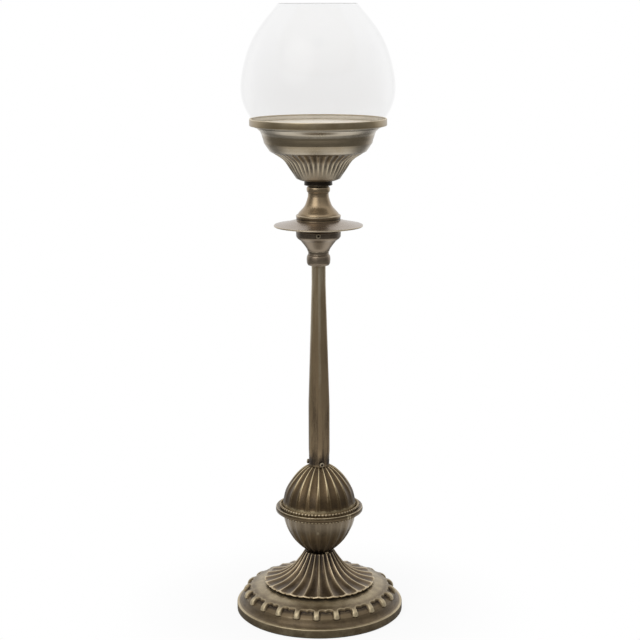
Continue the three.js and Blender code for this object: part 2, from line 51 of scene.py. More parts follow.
# Camera, as the photograph was taken: from the front, looking down a little
viewpoint = {
    "place": (0.0012, -1.430, 0.568),
    "lookDown": 11.17,  # degrees
    "roll": -0.17,
    "focalPixels": 1550,
    "imageWidth": 640,
    "sensorWidth": 36,
    "nearest": 0.01,
}


def setCamera(view):
    lens = bpy.data.cameras.new("photo_camera")
    lens.sensor_width = view["sensorWidth"]
    lens.lens = view["focalPixels"] / view["imageWidth"] * view["sensorWidth"]
    lens.clip_start = view["nearest"]
    camera = bpy.data.objects.new("photo_camera", lens)
    scene.collection.objects.link(camera)
    turn = Matrix.Rotation(math.radians(90 - view["lookDown"]), 4, "X")
    roll = Matrix.Rotation(math.radians(view["roll"]), 4, "Z")
    camera.matrix_world = Matrix.Translation(view["place"]) @ turn @ roll
    scene.camera = camera


setCamera(viewpoint)
print("camera set")


# A socket of a node tree that can be used in Python sums
class Strand:
    def __init__(self, tree, socket=None):
        self.tree = tree
        self.socket = socket

    def node(self, kind, settings=None, inputs=None, output=0):
        made = self.tree.nodes.new(kind)
        for key, value in (settings or {}).items():
            setattr(made, key, value)
        for key, value in (inputs or {}).items():
            if isinstance(value, Strand):
                self.tree.links.new(value.socket, made.inputs[key])
            else:
                made.inputs[key].default_value = value
        return Strand(self.tree, made.outputs[output] if made.outputs else None)

    def sum(self, operation, first, second):
        return self.node("ShaderNodeMath", {"operation": operation}, {0: first, 1: second})

    def __add__(self, other):
        return self.sum("ADD", self, other)

    def __radd__(self, other):
        return self.sum("ADD", other, self)

    def __sub__(self, other):
        return self.sum("SUBTRACT", self, other)

    def __rsub__(self, other):
        return self.sum("SUBTRACT", other, self)

    def __mul__(self, other):
        return self.sum("MULTIPLY", self, other)

    def __rmul__(self, other):
        return self.sum("MULTIPLY", other, self)

    def larger(self, other):
        return self.sum("MAXIMUM", self, other)

    def fade(self, low, high):
        inputs = {"Value": self, "From Min": low, "From Max": high}
        return self.node("ShaderNodeMapRange", {"interpolation_type": "SMOOTHSTEP"}, inputs)

    def blendTo(self, first, second):
        return self.node("ShaderNodeMix", {"data_type": "RGBA"}, {0: self, 6: first, 7: second}, output=2)


# An 8-bit colour as seen on screen, made linear
def paint(red, green, blue):
    def linear(part):
        share = part / 255
        return share / 12.92 if share <= 0.04045 else ((share + 0.055) / 1.055) ** 2.4
    return (linear(red), linear(green), linear(blue), 1.0)


def grey(level):
    return (level, level, level, 1.0)


def startFinish(name):
    finish = bpy.data.materials.new(name)
    finish.use_nodes = True
    finish.node_tree.nodes.clear()
    return finish, Strand(finish.node_tree)


def endFinish(start, shader, **volume):
    start.node("ShaderNodeOutputMaterial", inputs={"Surface": shader, **volume})


def objectPlace(start):
    return start.node("ShaderNodeTexCoord", output="Object")


def heightOf(start, place):
    return start.node("ShaderNodeSeparateXYZ", inputs={0: place}, output="Z")


# Wear, painted light and painted shade on the points of a piece, 0 dark to 1 pale
def wearAndLightOf(start):
    return start.node("ShaderNodeAttribute", {"attribute_name": "wearAndLight"}, output="Fac")


def noise(start, place, scale, detail, roughness, distortion=0.0):
    return start.node("ShaderNodeTexNoise", inputs={
        "Vector": place,
        "Scale": scale,
        "Detail": detail,
        "Roughness": roughness,
        "Distortion": distortion,
    })


# Fine marks round the axis, as a lathe leaves them
def latheRings(start, place, scale):
    inPlan = start.node("ShaderNodeVectorMath", {"operation": "MULTIPLY"}, {0: place, 1: (1.0, 1.0, 0.0)})
    radius = start.node("ShaderNodeVectorMath", {"operation": "LENGTH"}, {0: inPlan}, output="Value")
    section = start.node("ShaderNodeCombineXYZ", inputs={"X": radius, "Z": heightOf(start, place)})
    return noise(start, section, scale, 4.0, 0.7)


# Bronzed brass: dark patina in the hollows, rubbed pale on the edges; the painted light and shade of each
# piece darkens or lightens it on the same scale
bronzeFinish = {
    "patina": (48, 37, 26),
    "body": (140, 124, 100),
    "rubbed": (206, 192, 164),
    "mottle": 70,  # patches per metre
    "streak": (1.0, 1.0, 1.0),  # scale of the patches along each axis, less where they are drawn out
    "grain": 1400,  # specks per metre
    "rings": 0,  # lathe marks per metre
    "patchWear": 0.46,  # how much patches and grain upset the wear
    "grainWear": 0.34,
    "bodyWearAndLight": (0.08, 0.52),  # wear and painted light over which patina turns to body
    "paleWearAndLight": (0.52, 1.0),  # and body to rubbed
    "roughness": 0.34,
    "patinaRoughness": 0.22,
    "patchRoughness": 0.16,
    "metallic": 0.9,
    "dust": 0.0,  # how much less like metal the rubbed places are
    "lacquer": 0.25,
    "lacquerRoughness": 0.3,
    "bump": 0.12,
    "bumpDistance": 0.0006,
    "patchBump": 0.6,
    "grainBump": 0.7,
}

# The same, turned on a lathe
turnedFinish = {
    **bronzeFinish,
    "rings": 420,
    "ringWear": 0.24,
    "patchWear": 0.3,
    "grainWear": 0.16,
    "patinaRoughness": 0.2,
    "patchRoughness": 0.14,
    "bump": 0.16,
    "bumpDistance": 0.0005,
    "grainBump": 0.4,
}


def makeBronze(name, kind=bronzeFinish, **changes):
    look = {**kind, **changes}
    finish, start = startFinish(name)
    place = objectPlace(start)
    stretched = start.node("ShaderNodeMapping", inputs={"Vector": place, "Scale": look["streak"]})
    patches = noise(start, stretched, look["mottle"], 5.0, 0.62)
    grain = noise(start, place, look["grain"], 3.0, 0.7)
    wornAndLit = wearAndLightOf(start) + look["patchWear"] * (patches - 0.5) + look["grainWear"] * (grain - 0.5)
    if look["rings"]:
        rings = latheRings(start, place, look["rings"])
        wornAndLit = wornAndLit + look["ringWear"] * (rings - 0.5)
        relief = rings + look["grainBump"] * grain
    else:
        relief = look["patchBump"] * patches + look["grainBump"] * grain
    darkToBody = wornAndLit.fade(*look["bodyWearAndLight"])
    bodyToPale = wornAndLit.fade(*look["paleWearAndLight"])
    brown = darkToBody.blendTo(paint(*look["patina"]), paint(*look["body"]))
    unevenness = look["patinaRoughness"] * (1 - darkToBody) + look["patchRoughness"] * (patches - 0.5)
    marks = {"Strength": look["bump"], "Distance": look["bumpDistance"], "Height": relief}
    metallic = look["metallic"] - look["dust"] * bodyToPale if look["dust"] else look["metallic"]
    shader = start.node("ShaderNodeBsdfPrincipled", inputs={
        "Base Color": bodyToPale.blendTo(brown, paint(*look["rubbed"])),
        "Roughness": look["roughness"] + unevenness,
        "Metallic": metallic,
        "Coat Weight": look["lacquer"],
        "Coat Roughness": look["lacquerRoughness"],
        "Normal": start.node("ShaderNodeBump", inputs=marks),
    })
    endFinish(start, shader)
    return finish


steelFinish = {"dull": (96, 92, 86), "bright": (168, 164, 156), "scuffs": 260, "roughness": 0.34}


def makeSteel(name, look):
    finish, start = startFinish(name)
    scuffs = noise(start, objectPlace(start), look["scuffs"], 5.0, 0.65)
    shader = start.node("ShaderNodeBsdfPrincipled", inputs={
        "Base Color": scuffs.fade(0.3, 0.7).blendTo(paint(*look["dull"]), paint(*look["bright"])),
        "Roughness": look["roughness"] + 0.25 * (scuffs - 0.5),
        "Metallic": 0.95,
    })
    endFinish(start, shader)
    return finish


feltFinish = {"dark": (26, 22, 19), "light": (58, 50, 43), "fibres": 1600, "nap": 0.5}


def makeFelt(name, look):
    finish, start = startFinish(name)
    fibres = noise(start, objectPlace(start), look["fibres"], 6.0, 0.8, distortion=1.2)
    nap = {"Strength": look["nap"], "Distance": 0.0005, "Height": fibres}
    shader = start.node("ShaderNodeBsdfPrincipled", inputs={
        "Base Color": fibres.fade(0.35, 0.7).blendTo(paint(*look["dark"]), paint(*look["light"])),
        "Roughness": 0.95,
        "Sheen Weight": 0.3,
        "Normal": start.node("ShaderNodeBump", inputs=nap),
    })
    endFinish(start, shader)
    return finish


# Thin glass: what is behind it shows straight through, a little greyer lower down as painted shade, and
# clearer towards its outline as a painted sheen
glassFinish = {
    "upperTint": grey(0.957),
    "lowerTint": (0.906, 0.902, 0.898, 1.0),
    "tintHeights": (0.46, 0.58),  # metres
    "edgeTint": grey(0.988),
    "edgeShare": 0.85,
    "rimTint": grey(0.72),
    "rimRub": (0.62, 0.8),  # values of the edge attribute, high at the sharply bent fire-polished rims, over which the rims are painted darker as shade in the thick glass
    "smoke": grey(0.5),
    "smokeDensity": 6.0,  # per metre of glass
    "gloss": 0.5,
    "glossIor": 1.45,
}


def makeGlass(name, look):
    finish, start = startFinish(name)
    edgeOn = start.node("ShaderNodeLayerWeight", output="Facing")
    lowToHigh = heightOf(start, objectPlace(start)).fade(*look["tintHeights"])
    tint = lowToHigh.blendTo(look["lowerTint"], look["upperTint"])
    tint = (look["edgeShare"] * edgeOn.fade(0.0, 0.9)).blendTo(tint, look["edgeTint"])
    tint = wearAndLightOf(start).fade(*look["rimRub"]).blendTo(tint, look["rimTint"])
    shader = start.node("ShaderNodeBsdfPrincipled", inputs={
        "Base Color": tint,
        "Roughness": 0.0,
        "IOR": 1.0,
        "Transmission Weight": 1.0,
        "Coat Weight": look["gloss"] * (1 - edgeOn.fade(0.5, 0.95)),
        "Coat Roughness": 0.0,
        "Coat IOR": look["glossIor"],
    })
    inside = {"Color": look["smoke"], "Density": look["smokeDensity"]}
    endFinish(start, shader, Volume=start.node("ShaderNodeVolumeAbsorption", inputs=inside))
    return finish


castBronze = makeBronze(
    "cast_bronze", body=(110, 94, 70), rubbed=(190, 174, 142), mottle=110, roughness=0.42, bump=0.3,
)
skirtBronze = makeBronze("skirt_bronze", body=(116, 98, 74), rubbed=(206, 188, 156), roughness=0.38)
domeBronze = makeBronze("dome_bronze", body=(94, 76, 50), rubbed=(206, 188, 150), roughness=0.38)
ballBronze = makeBronze("ball_bronze", body=(130, 116, 95), rubbed=(178, 164, 138), roughness=0.38)
beadBronze = makeBronze("bead_bronze", body=(136, 118, 90), rubbed=(214, 198, 166), roughness=0.36)
hoopBronze = makeBronze("hoop_bronze", body=(98, 82, 58), rubbed=(220, 204, 170), roughness=0.36)
columnBronze = makeBronze(
    "column_bronze_tube", body=(160, 138, 107), mottle=150, patchWear=1.0, streak=(1.0, 1.0, 0.1),
)
screwBronze = makeBronze("screw_bronze", body=(96, 84, 68), mottle=300)
cupBronze = makeBronze("cup_bronze", body=(155, 143, 123), roughness=0.32)
collarBronze = makeBronze("collar_bronze", turnedFinish, body=(150, 135, 116), roughness=0.36)
discBronze = makeBronze("disc_bronze", turnedFinish, body=(158, 143, 127), roughness=0.28)
spindleBronze = makeBronze("spindle_bronze", turnedFinish, body=(156, 136, 108), roughness=0.31)
bowlBronze = makeBronze(
    "bowl_bronze", turnedFinish, body=(151, 136, 111), rubbed=(206, 197, 180), bump=0.05, roughness=0.29,
)
trayBronze = makeBronze("tray_bronze", turnedFinish, body=(148, 129, 97), bump=0.04, roughness=0.36)
dishBronze = makeBronze(
    "dish_bronze", turnedFinish, body=(168, 154, 130), rubbed=(228, 219, 202),
    bump=0.1, roughness=0.3, dust=0.2,
)
innerSteel = makeSteel("inner_steel", steelFinish)
feltCloth = makeFelt("felt_cloth", feltFinish)
clearGlass = makeGlass("clear_glass", glassFinish)
print("finishes made")


rodBore = 3.3  # hole that the clamp rod passes through
outlineEase = {"mostOfSide": 0.48, "pull": 0.42, "segments": 3}  # how a corner is rounded
meshLimits = {"sectors": 48, "mergeDistance": 1e-6, "shortestSide": 1e-6}  # metres


# Radius, foot and top of a CAD node, in millimetres
def span(node):
    low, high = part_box(node)
    return max(high.x, high.y) / mm, low.z / mm, high.z / mm


# Smooth run through a few outline points
def smoothRun(points, perSpan=5):
    stops = [Vector(point) for point in points]
    last = len(stops) - 1
    run = []
    for index in range(last):
        before, here = stops[max(index - 1, 0)], stops[index]
        there, after = stops[index + 1], stops[min(index + 2, last)]
        leave = here + (there - before) / 6
        reach = there - (after - here) / 6
        run += geometry.interpolate_bezier(here, leave, reach, there, perSpan + 1)[:-1]
    return [tuple(point) for point in run] + [tuple(stops[-1])]


# Run between two ends, shaped by [share of the width, share of the rise]
def shapedRun(start, end, shares, perSpan=5):
    first = Vector(start)
    width, rise = Vector(end) - first
    middle = [(first.x + width * across, first.y + rise * up) for across, up in shares]
    return smoothRun([start, *middle, end], perSpan)


# Half-round moulding on a stem
def halfRound(radius, swell, foot, height, count=12):
    turns = [math.pi * step / count for step in range(count + 1)]
    return [(radius + swell * math.sin(turn), foot + height * (1 - math.cos(turn)) / 2) for turn in turns]


# Plain points of an outline: radius, height and, where a corner is rounded, its size
def plain(*points):
    return [(*point, 0)[:3] + (0, 0) for point in points]


# Points of a run that flutes are pressed into, with the share of the way along it
def pressed(run, isReversed=False):
    last = len(run) - 1
    shares = [index / last for index in range(len(run))]
    if isReversed:
        shares.reverse()
    return [(radius, height, 0, 1, share) for (radius, height), share in zip(run, shares)]


# Rounds the corners of an outline that have a size
def easeCorners(outline):
    eased = []
    for index, (radius, height, size, press, along) in enumerate(outline):
        here = Vector((radius, height))
        if not size:
            eased.append((here, press, along))
            continue
        before = Vector(outline[index - 1][:2]) - here
        after = Vector(outline[(index + 1) % len(outline)][:2]) - here
        start = here + before.normalized() * min(size, before.length * outlineEase["mostOfSide"])
        end = here + after.normalized() * min(size, after.length * outlineEase["mostOfSide"])
        pulls = (here.lerp(start, outlineEase["pull"]), here.lerp(end, outlineEase["pull"]))
        arc = geometry.interpolate_bezier(start, *pulls, end, outlineEase["segments"] + 2)
        eased += [(point, press, along) for point in arc]
    return eased


# Mesh spun round the Z axis from an outline in millimetres, starting at the front.
# One sector is spun and then copied round, which is quicker than one long spin.
def spinOutline(outline, steps, isClosed=True, gap=0.0):
    mesh = bmesh.new()
    mesh.verts.layers.float.new("wearAndLight")
    press = mesh.verts.layers.float.new("press")
    along = mesh.verts.layers.float.new("along")
    verts = []
    for point, isPressed, share in easeCorners(outline):
        vert = mesh.verts.new((0, -point.x * mm, point.y * mm))
        vert[press] = isPressed
        vert[along] = share
        verts.append(vert)
    following = verts[1:] + verts[:1] if isClosed else verts[1:]
    edges = [mesh.edges.new(pair) for pair in zip(verts, following)]
    sectors = max(count for count in range(1, meshLimits["sectors"] + 1) if steps % count == 0)
    sectorAngle = math.radians(360 - gap) / sectors
    middle = {"cent": (0, 0, 0), "axis": (0, 0, 1)}
    bmesh.ops.spin(mesh, geom=verts + edges, angle=sectorAngle, steps=steps // sectors, **middle)
    sector = mesh.verts[:] + mesh.edges[:] + mesh.faces[:]
    others = sectors - 1
    bmesh.ops.spin(
        mesh, geom=sector, angle=sectorAngle * others, steps=others, use_duplicate=True, **middle,
    )
    bmesh.ops.remove_doubles(mesh, verts=mesh.verts, dist=meshLimits["mergeDistance"])
    if gap:
        bmesh.ops.holes_fill(mesh, edges=[edge for edge in mesh.edges if edge.is_boundary], sides=0)
    bmesh.ops.recalc_face_normals(mesh, faces=mesh.faces)
    return mesh


# Distance of a point from the axis and its height, in millimetres
def radiusOf(point):
    return point.to_2d().length / mm


def levelOf(point):
    return point.z / mm


# Angle of a point round the axis, in degrees from the front towards the right
def angleOf(point):
    return math.degrees(math.atan2(point.x, -point.y))


# Distance round to the nearest of a ring of equal places, as a share of their pitch, -0.5 to 0.5
def offNearest(point, count, firstAngle):
    turns = (angleOf(point) - firstAngle) * count / 360
    return turns - round(turns)


# Angle round from the middle of the nearest flat of a regular prism, in radians
def offFlat(point, sides, cornerAngle):
    return math.radians((0.5 - abs(offNearest(point, sides, cornerAngle))) * 360 / sides)


def ease(low, high, value):
    share = min(max((value - low) / (high - low), 0), 1)
    return share * share * (3 - 2 * share)


# 1 at a place, falling away to nothing either side of it
def hump(value, width):
    return math.exp(-((value / width) ** 2))


# Direction into the wall at a share of the way along a run
def inwardAt(run, share):
    index = min(int(share * (len(run) - 1)), len(run) - 2)
    width, rise = Vector(run[index + 1]) - Vector(run[index])
    inward = Vector((rise, -width)) if rise < 0 else Vector((-rise, width))
    return inward.normalized()


# Moves a point in its own upright plane through the axis
def shift(vert, outwards, upwards):
    radial = Vector((vert.co.x, vert.co.y, 0)).normalized()
    vert.co += radial * outwards * mm
    vert.co.z += upwards * mm


def layerOf(mesh, name):
    return mesh.verts.layers.float[name]


# Points on the marked run of a spun mesh, with the share of the way along it
def pressedPoints(mesh):
    press = layerOf(mesh, "press")
    along = layerOf(mesh, "along")
    return [(vert, vert[along]) for vert in mesh.verts if vert[press]]


# Presses hollow flutes between ridges into the marked run of a spun mesh. A ridge is given by its width
# at the start, its growth and the two shares of the run between which it grows. cut(along, across, edge)
# gives the depth and the paleness at a place: across is 0 on a ridge and 1 in the middle of a hollow,
# and edge is how far it is from the side of a ridge, as a share of half the pitch.
def pressFlutes(mesh, run, size, ridge, cut):
    wearAndLight = layerOf(mesh, "wearAndLight")
    width, growth, low, high = ridge
    for vert, share in pressedPoints(mesh):
        flat = width + growth * ease(low, high, share)
        off = abs(offNearest(vert.co, size["flutes"], size["ridgeAngle"])) * 2
        across = max(0, off - flat) / (1 - flat)
        depth, paleness = cut(share, across, abs(off - flat))
        inward = inwardAt(run, share) * depth * (1 - (1 - across) ** 2)
        shift(vert, inward.x, inward.y)
        vert[wearAndLight] = paleness


# Adds wear, painted light and painted shade by the radius and height of each point
def addWearAndLight(mesh, paleness):
    wearAndLight = layerOf(mesh, "wearAndLight")
    for vert in mesh.verts:
        vert[wearAndLight] += paleness(radiusOf(vert.co), levelOf(vert.co))


def readRows(rows, field, width, kind=float):
    values = np.zeros(len(rows) * width, dtype=kind)
    rows.foreach_get(field, values)
    return values.reshape(-1, width)


# How pale each point of a finished mesh is rubbed: proud edges more, hollows less
def rubEdges(shape, reach):
    count = len(shape.vertices)
    places = readRows(shape.vertices, "co", 3)
    normals = readRows(shape.vertex_normals, "vector", 3)
    first, second = readRows(shape.edges, "vertices", 2, int).T
    sides = places[second] - places[first]
    lengths = np.maximum((sides * sides).sum(axis=1), meshLimits["shortestSide"] ** 2)
    around = np.maximum(np.bincount(first, minlength=count) + np.bincount(second, minlength=count), 1)
    bend = np.bincount(first, -2 * (sides * normals[first]).sum(axis=1) / lengths, count)
    bend += np.bincount(second, 2 * (sides * normals[second]).sum(axis=1) / lengths, count)
    layer = shape.attributes["wearAndLight"].data
    wearAndLight = readRows(layer, "value", 1)[:, 0]
    wearAndLight += 0.5 + 0.5 * np.tanh(bend / around * reach * mm)
    means = np.bincount(first, wearAndLight[second], count) + np.bincount(second, wearAndLight[first], count)
    layer.foreach_set("value", (wearAndLight + means / around) / 2)


def keepPiece(mesh, name, finish, nodes=(), body="stand", sharpAngle=50, rubReach=1.0):
    shape = bpy.data.meshes.new(name)
    mesh.to_mesh(shape)
    mesh.free()
    rubEdges(shape, rubReach)
    shape.materials.append(finish)
    shape.shade_smooth()
    shape.set_sharp_from_angle(angle=math.radians(sharpAngle))
    piece = bpy.data.objects.new(name, shape)
    scene.collection.objects.link(piece)
    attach(piece, body)
    if nodes:
        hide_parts(*nodes)
    print(name, len(shape.polygons), "faces")
    return piece


# Felt under the base
feltPad = {"edge": 0.45, "steps": 96}
feltRadius, feltFoot, feltTop = span("felt_pad")
feltMesh = spinOutline(plain(
    (0, feltFoot),
    (feltRadius / 2, feltFoot),
    (feltRadius, feltFoot, feltPad["edge"]),
    (feltRadius, feltTop, feltPad["edge"]),
    (feltRadius / 2, feltTop),
    (0, feltTop),
), feltPad["steps"], isClosed=False)
feltDisc = keepPiece(feltMesh, "felt_disc", feltCloth, ["felt_pad"])


# Cast base: rim, cove, a shoulder of lugs with hollows between them, and the plateau
baseCasting = {
    "wall": 4.0,
    "rimWidth": 4.0,
    "rimHeight": 7.6,
    "coveRise": 6.0,
    "slopeRise": 3.2,  # plateau edge to the hub
    "slopeWidth": 11.0,
    "hubRadius": 30,
    "plateauRadius": 64.5,
    "lugFootRadius": 73.0,
    "lugs": 24,
    "firstLug": -2.4,
    "lugShare": 0.3,  # of the pitch
    "lugTip": 0.2,  # rounded lower end of a lug, as a share of the shoulder
    "hollowDepth": 2.6,
    "archFoot": 0.85,  # two arches over each hollow
    "archRise": 0.05,
    "lugSwell": 1.5,
    "tongueWearAndHighlight": 0.4,  # every Rub says how much paler a place is, or darker below 0
    "lugRub": 0.12,
    "archHighlight": 0.12,
    "hollowRub": -0.26,
    "plateauPaintedLight": 0.26,
    "rimEdgeWearAndHighlight": 0.42,
    "rimRub": 0.05,
    "covePaintedLight": -0.1,
    "stepsPerLug": 32,
    "rowsPerSpan": 8,
}


def hollowBetweenLugs(mesh, run, size):
    wearAndLight = layerOf(mesh, "wearAndLight")
    lugShare = size["lugShare"]
    for vert, share in pressedPoints(mesh):
        off = abs(offNearest(vert.co, size["lugs"], size["firstLug"])) * 2
        across = max(0, off - lugShare) / (1 - lugShare)  # 0 at a lug's side, 1 half-way to the next
        arch = size["archFoot"] + size["archRise"] * math.sin(math.pi * across)
        side = ease(0.65 * lugShare, 1.35 * lugShare, off)
        hollow = side * ease(0.0, 0.66, share) * (1 - ease(arch - 0.12, arch + 0.03, share))
        sideways = min(off / (1.2 * lugShare), 1)
        onLug = math.sqrt(1 - sideways ** 2)
        tip = size["lugTip"] * (1 - onLug)
        tongue = onLug * ease(tip, tip + 0.13, share) * (1 - ease(0.3, 0.9, share))  # hangs over the cove
        inward = inwardAt(run, share) * (size["hollowDepth"] * hollow - size["lugSwell"] * tongue)
        shift(vert, inward.x, inward.y)
        # Rubbed lug tongues with a painted highlight, and a painted highlight along the arches
        paleness = size["tongueWearAndHighlight"] * tongue + size["lugRub"] * onLug * ease(0.02, 0.2, share)
        paleness += size["archHighlight"] * hump(share - arch - 0.04, 0.05) * side
        # Painted shade in the hollows under the plateau's edge
        vert[wearAndLight] = paleness + size["hollowRub"] * hollow * ease(0.2, 0.7, share)


# The flat top is painted paler, as light falls on it, than the rim, whose upper edge is rubbed bright with
# a painted highlight; the cove under the lugs gets painted shade
def baseWearAndPaintedLight(radius, height):
    paleness = 0
    if radius < plateauEdge + 3:
        onTop = ease(plateauTop - 0.8, plateauTop + 1.4, height)
        paleness += baseCasting["plateauPaintedLight"] * ease(28, 50, radius) * onTop
    if radius > baseRadius - 2.2:
        underEdge = 1 - ease(rimTop - 2.4, rimTop - 1, height)
        paleness += baseCasting["rimEdgeWearAndHighlight"] * hump(height - rimTop, 0.7)
        paleness += baseCasting["rimRub"] * underEdge
    elif radius > lugFoot:
        paleness += baseCasting["covePaintedLight"] * ease(rimTop, rimTop + 1.5, height)
    return paleness


baseRadius, baseFoot, baseTop = span("base")
rimTop = baseFoot + baseCasting["rimHeight"]
rimInside = baseRadius - baseCasting["rimWidth"]
coveTop = rimTop + baseCasting["coveRise"]
plateauTop = baseTop - baseCasting["slopeRise"]
lugFoot = baseCasting["lugFootRadius"]
plateauEdge = baseCasting["plateauRadius"]
hubUnder = plateauTop - baseCasting["wall"]
baseRun = smoothRun([
    (baseRadius - 1.9, rimTop),
    (baseRadius - 4.6, rimTop + 1.2),
    (lugFoot + 0.7, rimTop + 3.4),
    (lugFoot - 0.2, coveTop),
    (lugFoot - 0.5, coveTop + 2.4),
    (lugFoot - 1.6, coveTop + 5.4),
    (lugFoot - 4.0, coveTop + 7.9),
    (plateauEdge, plateauTop),
    (plateauEdge - 4.5, plateauTop + 1.2),
], baseCasting["rowsPerSpan"])
lugStart = 3 * baseCasting["rowsPerSpan"]
lugEnd = 7 * baseCasting["rowsPerSpan"]
lugRun = baseRun[lugStart:lugEnd + 1]
baseMesh = spinOutline(
    plain(
        (rodBore, hubUnder),
        (plateauEdge - 4, hubUnder, 3),
        (lugFoot - 5, rimTop, 3),
        (rimInside, rimTop - 2, 1.5),
        (rimInside, baseFoot, 0.3),
        (baseRadius, baseFoot, 0.6),
        (baseRadius, rimTop - 0.1, 0.9),
        (baseRadius - 1.2, rimTop - 0.05, 0.5),
        *baseRun[:lugStart],
    )
    + pressed(lugRun)
    + plain(
        *baseRun[lugEnd + 1:],
        (plateauEdge - baseCasting["slopeWidth"], baseTop, 9),
        (baseCasting["hubRadius"], baseTop),
        (rodBore, baseTop),
    ),
    baseCasting["lugs"] * baseCasting["stepsPerLug"],
)
hollowBetweenLugs(baseMesh, lugRun, baseCasting)
addWearAndLight(baseMesh, baseWearAndPaintedLight)
keepPiece(baseMesh, "base_casting", castBronze, ["base"])


# Trumpet skirt: a fluted sheet with a lobed rim
skirtSheet = {
    "sheet": 1.3,
    "neckRadius": 14.3,
    "flare": [(0.15, 0.32), (0.345, 0.634), (0.63, 0.87)],
    "lip": 0.35,
    "flutes": 24,
    "ridgeAngle": -1.2,
    "ridge": (0.04, 0, 0, 1),
    "depth": 1.7,
    "notch": 1.6,  # how far the rim is drawn in between its lobes
    "ridgeRub": 0.36,
    "rimRub": 0.3,
    "hollowRub": -0.16,
    "neckShade": -0.18,
    "stepsPerFlute": 20,
}


def skirtFlute(share, across, edge):
    depth = skirtSheet["depth"] * (0.45 + 0.55 * ease(0, 0.3, share)) * (1 - 0.45 * ease(0.75, 1, share))
    paleness = skirtSheet["ridgeRub"] * hump(edge, 0.13) + skirtSheet["rimRub"] * ease(0.955, 0.99, share)
    paleness += skirtSheet["hollowRub"] * ease(0.1, 0.6, across)
    # Painted shade towards the neck, under the ball
    return depth, paleness + skirtSheet["neckShade"] * (1 - ease(0, 0.4, share))


def notchRim(mesh, size):
    along = layerOf(mesh, "along")
    for vert in mesh.verts:
        between = abs(offNearest(vert.co, size["flutes"], size["ridgeAngle"])) * 2
        scallop = 0.25 * between ** 2 + 0.75 * ease(0.72, 1, between)
        shift(vert, -size["notch"] * scallop * ease(0.9, 1, vert[along]), 0)


skirtRadius, skirtFoot, skirtTop = span("skirt")
skirtWall = skirtSheet["sheet"]
skirtNeck = (skirtSheet["neckRadius"], skirtTop)
skirtRun = shapedRun(skirtNeck, (skirtRadius, skirtFoot + skirtWall), skirtSheet["flare"], 9)
skirtUnder = [
    (radius - skirtWall * (1 - index / (len(skirtRun) - 1)), height - skirtWall)
    for index, (radius, height) in enumerate(skirtRun)
]
skirtMesh = spinOutline(
    plain((rodBore, skirtTop))
    + pressed(skirtRun)
    + [(skirtRadius + skirtSheet["lip"], skirtFoot + skirtWall / 2, 0, 1, 1)]
    + pressed(skirtUnder[::-1], isReversed=True)
    + plain((rodBore, skirtTop - skirtWall)),
    skirtSheet["flutes"] * skirtSheet["stepsPerFlute"],
)
pressFlutes(skirtMesh, skirtRun, skirtSheet, skirtSheet["ridge"], skirtFlute)
notchRim(skirtMesh, skirtSheet)
keepPiece(skirtMesh, "skirt_trumpet", skirtBronze, ["skirt"])


# Ball knop: two fluted half shells with flanges
ballShells = {
    "wall": 2.0,
    "radius": 35.5,
    "flange": 1.5,
    "flutes": 20,
    "ridgeAngle": -1.6,
    "depth": 1.25,
    "dome": {
        "node": "upper_half_ball",
        "up": -1,  # opens downwards
        "neckRadius": 10.6,
        "swell": [(0.25, 0.1), (0.587, 0.322), (0.865, 0.616)],
        "inside": (14, 30),  # a point of its inner wall, in from the radius and away from the flange
        "ridge": (0.02, 0.24, 0.3, 0.95),
    },
    "lower": {
        "node": "lower_half_ball",
        "up": 1,
        "neckRadius": 10.8,
        "swell": [(0.3, 0.14), (0.63, 0.37), (0.875, 0.66)],
        "inside": (15, 32),
        "ridge": (0.04, 0.3, 0.1, 0.8),
    },
    "domeRidgeRub": 0.56,
    "domeRimRub": 0.3,
    "domeDusk": 0.1,
    "lowerRidgeRub": 0.16,
    "lowerHollowRub": -0.06,
    "lowerFootShade": -0.45,
    "stepsPerFlute": 28,
    "rubReach": 0.4,
}


def domeFlute(share, across, edge):
    rim = ease(0.895, 0.925, share + 0.018 * across)  # plain rim below the panels
    depth = ballShells["depth"] * (0.5 + 0.5 * ease(0, 0.2, share)) * (1 - 0.7 * ease(0.45, 0.9, share))
    ridge = hump(edge, 0.15) * (1 - 0.7 * ease(0.32, 0.72, share))
    dusk = ballShells["domeDusk"] * (ease(0.05, 0.35, across) + ease(0.6, 0.9, share))
    onPanel = ballShells["domeRidgeRub"] * ridge - dusk
    return depth * (1 - rim), onPanel * (1 - rim) + ballShells["domeRimRub"] * rim


def lowerFlute(share, across, edge):
    rim = ease(0.95, 0.985, share + 0.012 * across)
    depth = 0.7 * ballShells["depth"] * ease(0, 0.25, share) * (1 - 0.6 * ease(0.5, 0.9, share))
    ridge = hump(edge, 0.16) * (1 - 0.4 * ease(0.4, 0.8, share))
    paleness = ballShells["lowerRidgeRub"] * ridge * (1 - rim)
    paleness += ballShells["lowerHollowRub"] * ease(0.1, 0.5, across)
    # Painted shade at the foot, where it sits in the skirt's neck
    return depth * (1 - rim), paleness + ballShells["lowerFootShade"] * (1 - ease(0.04, 0.34, share))


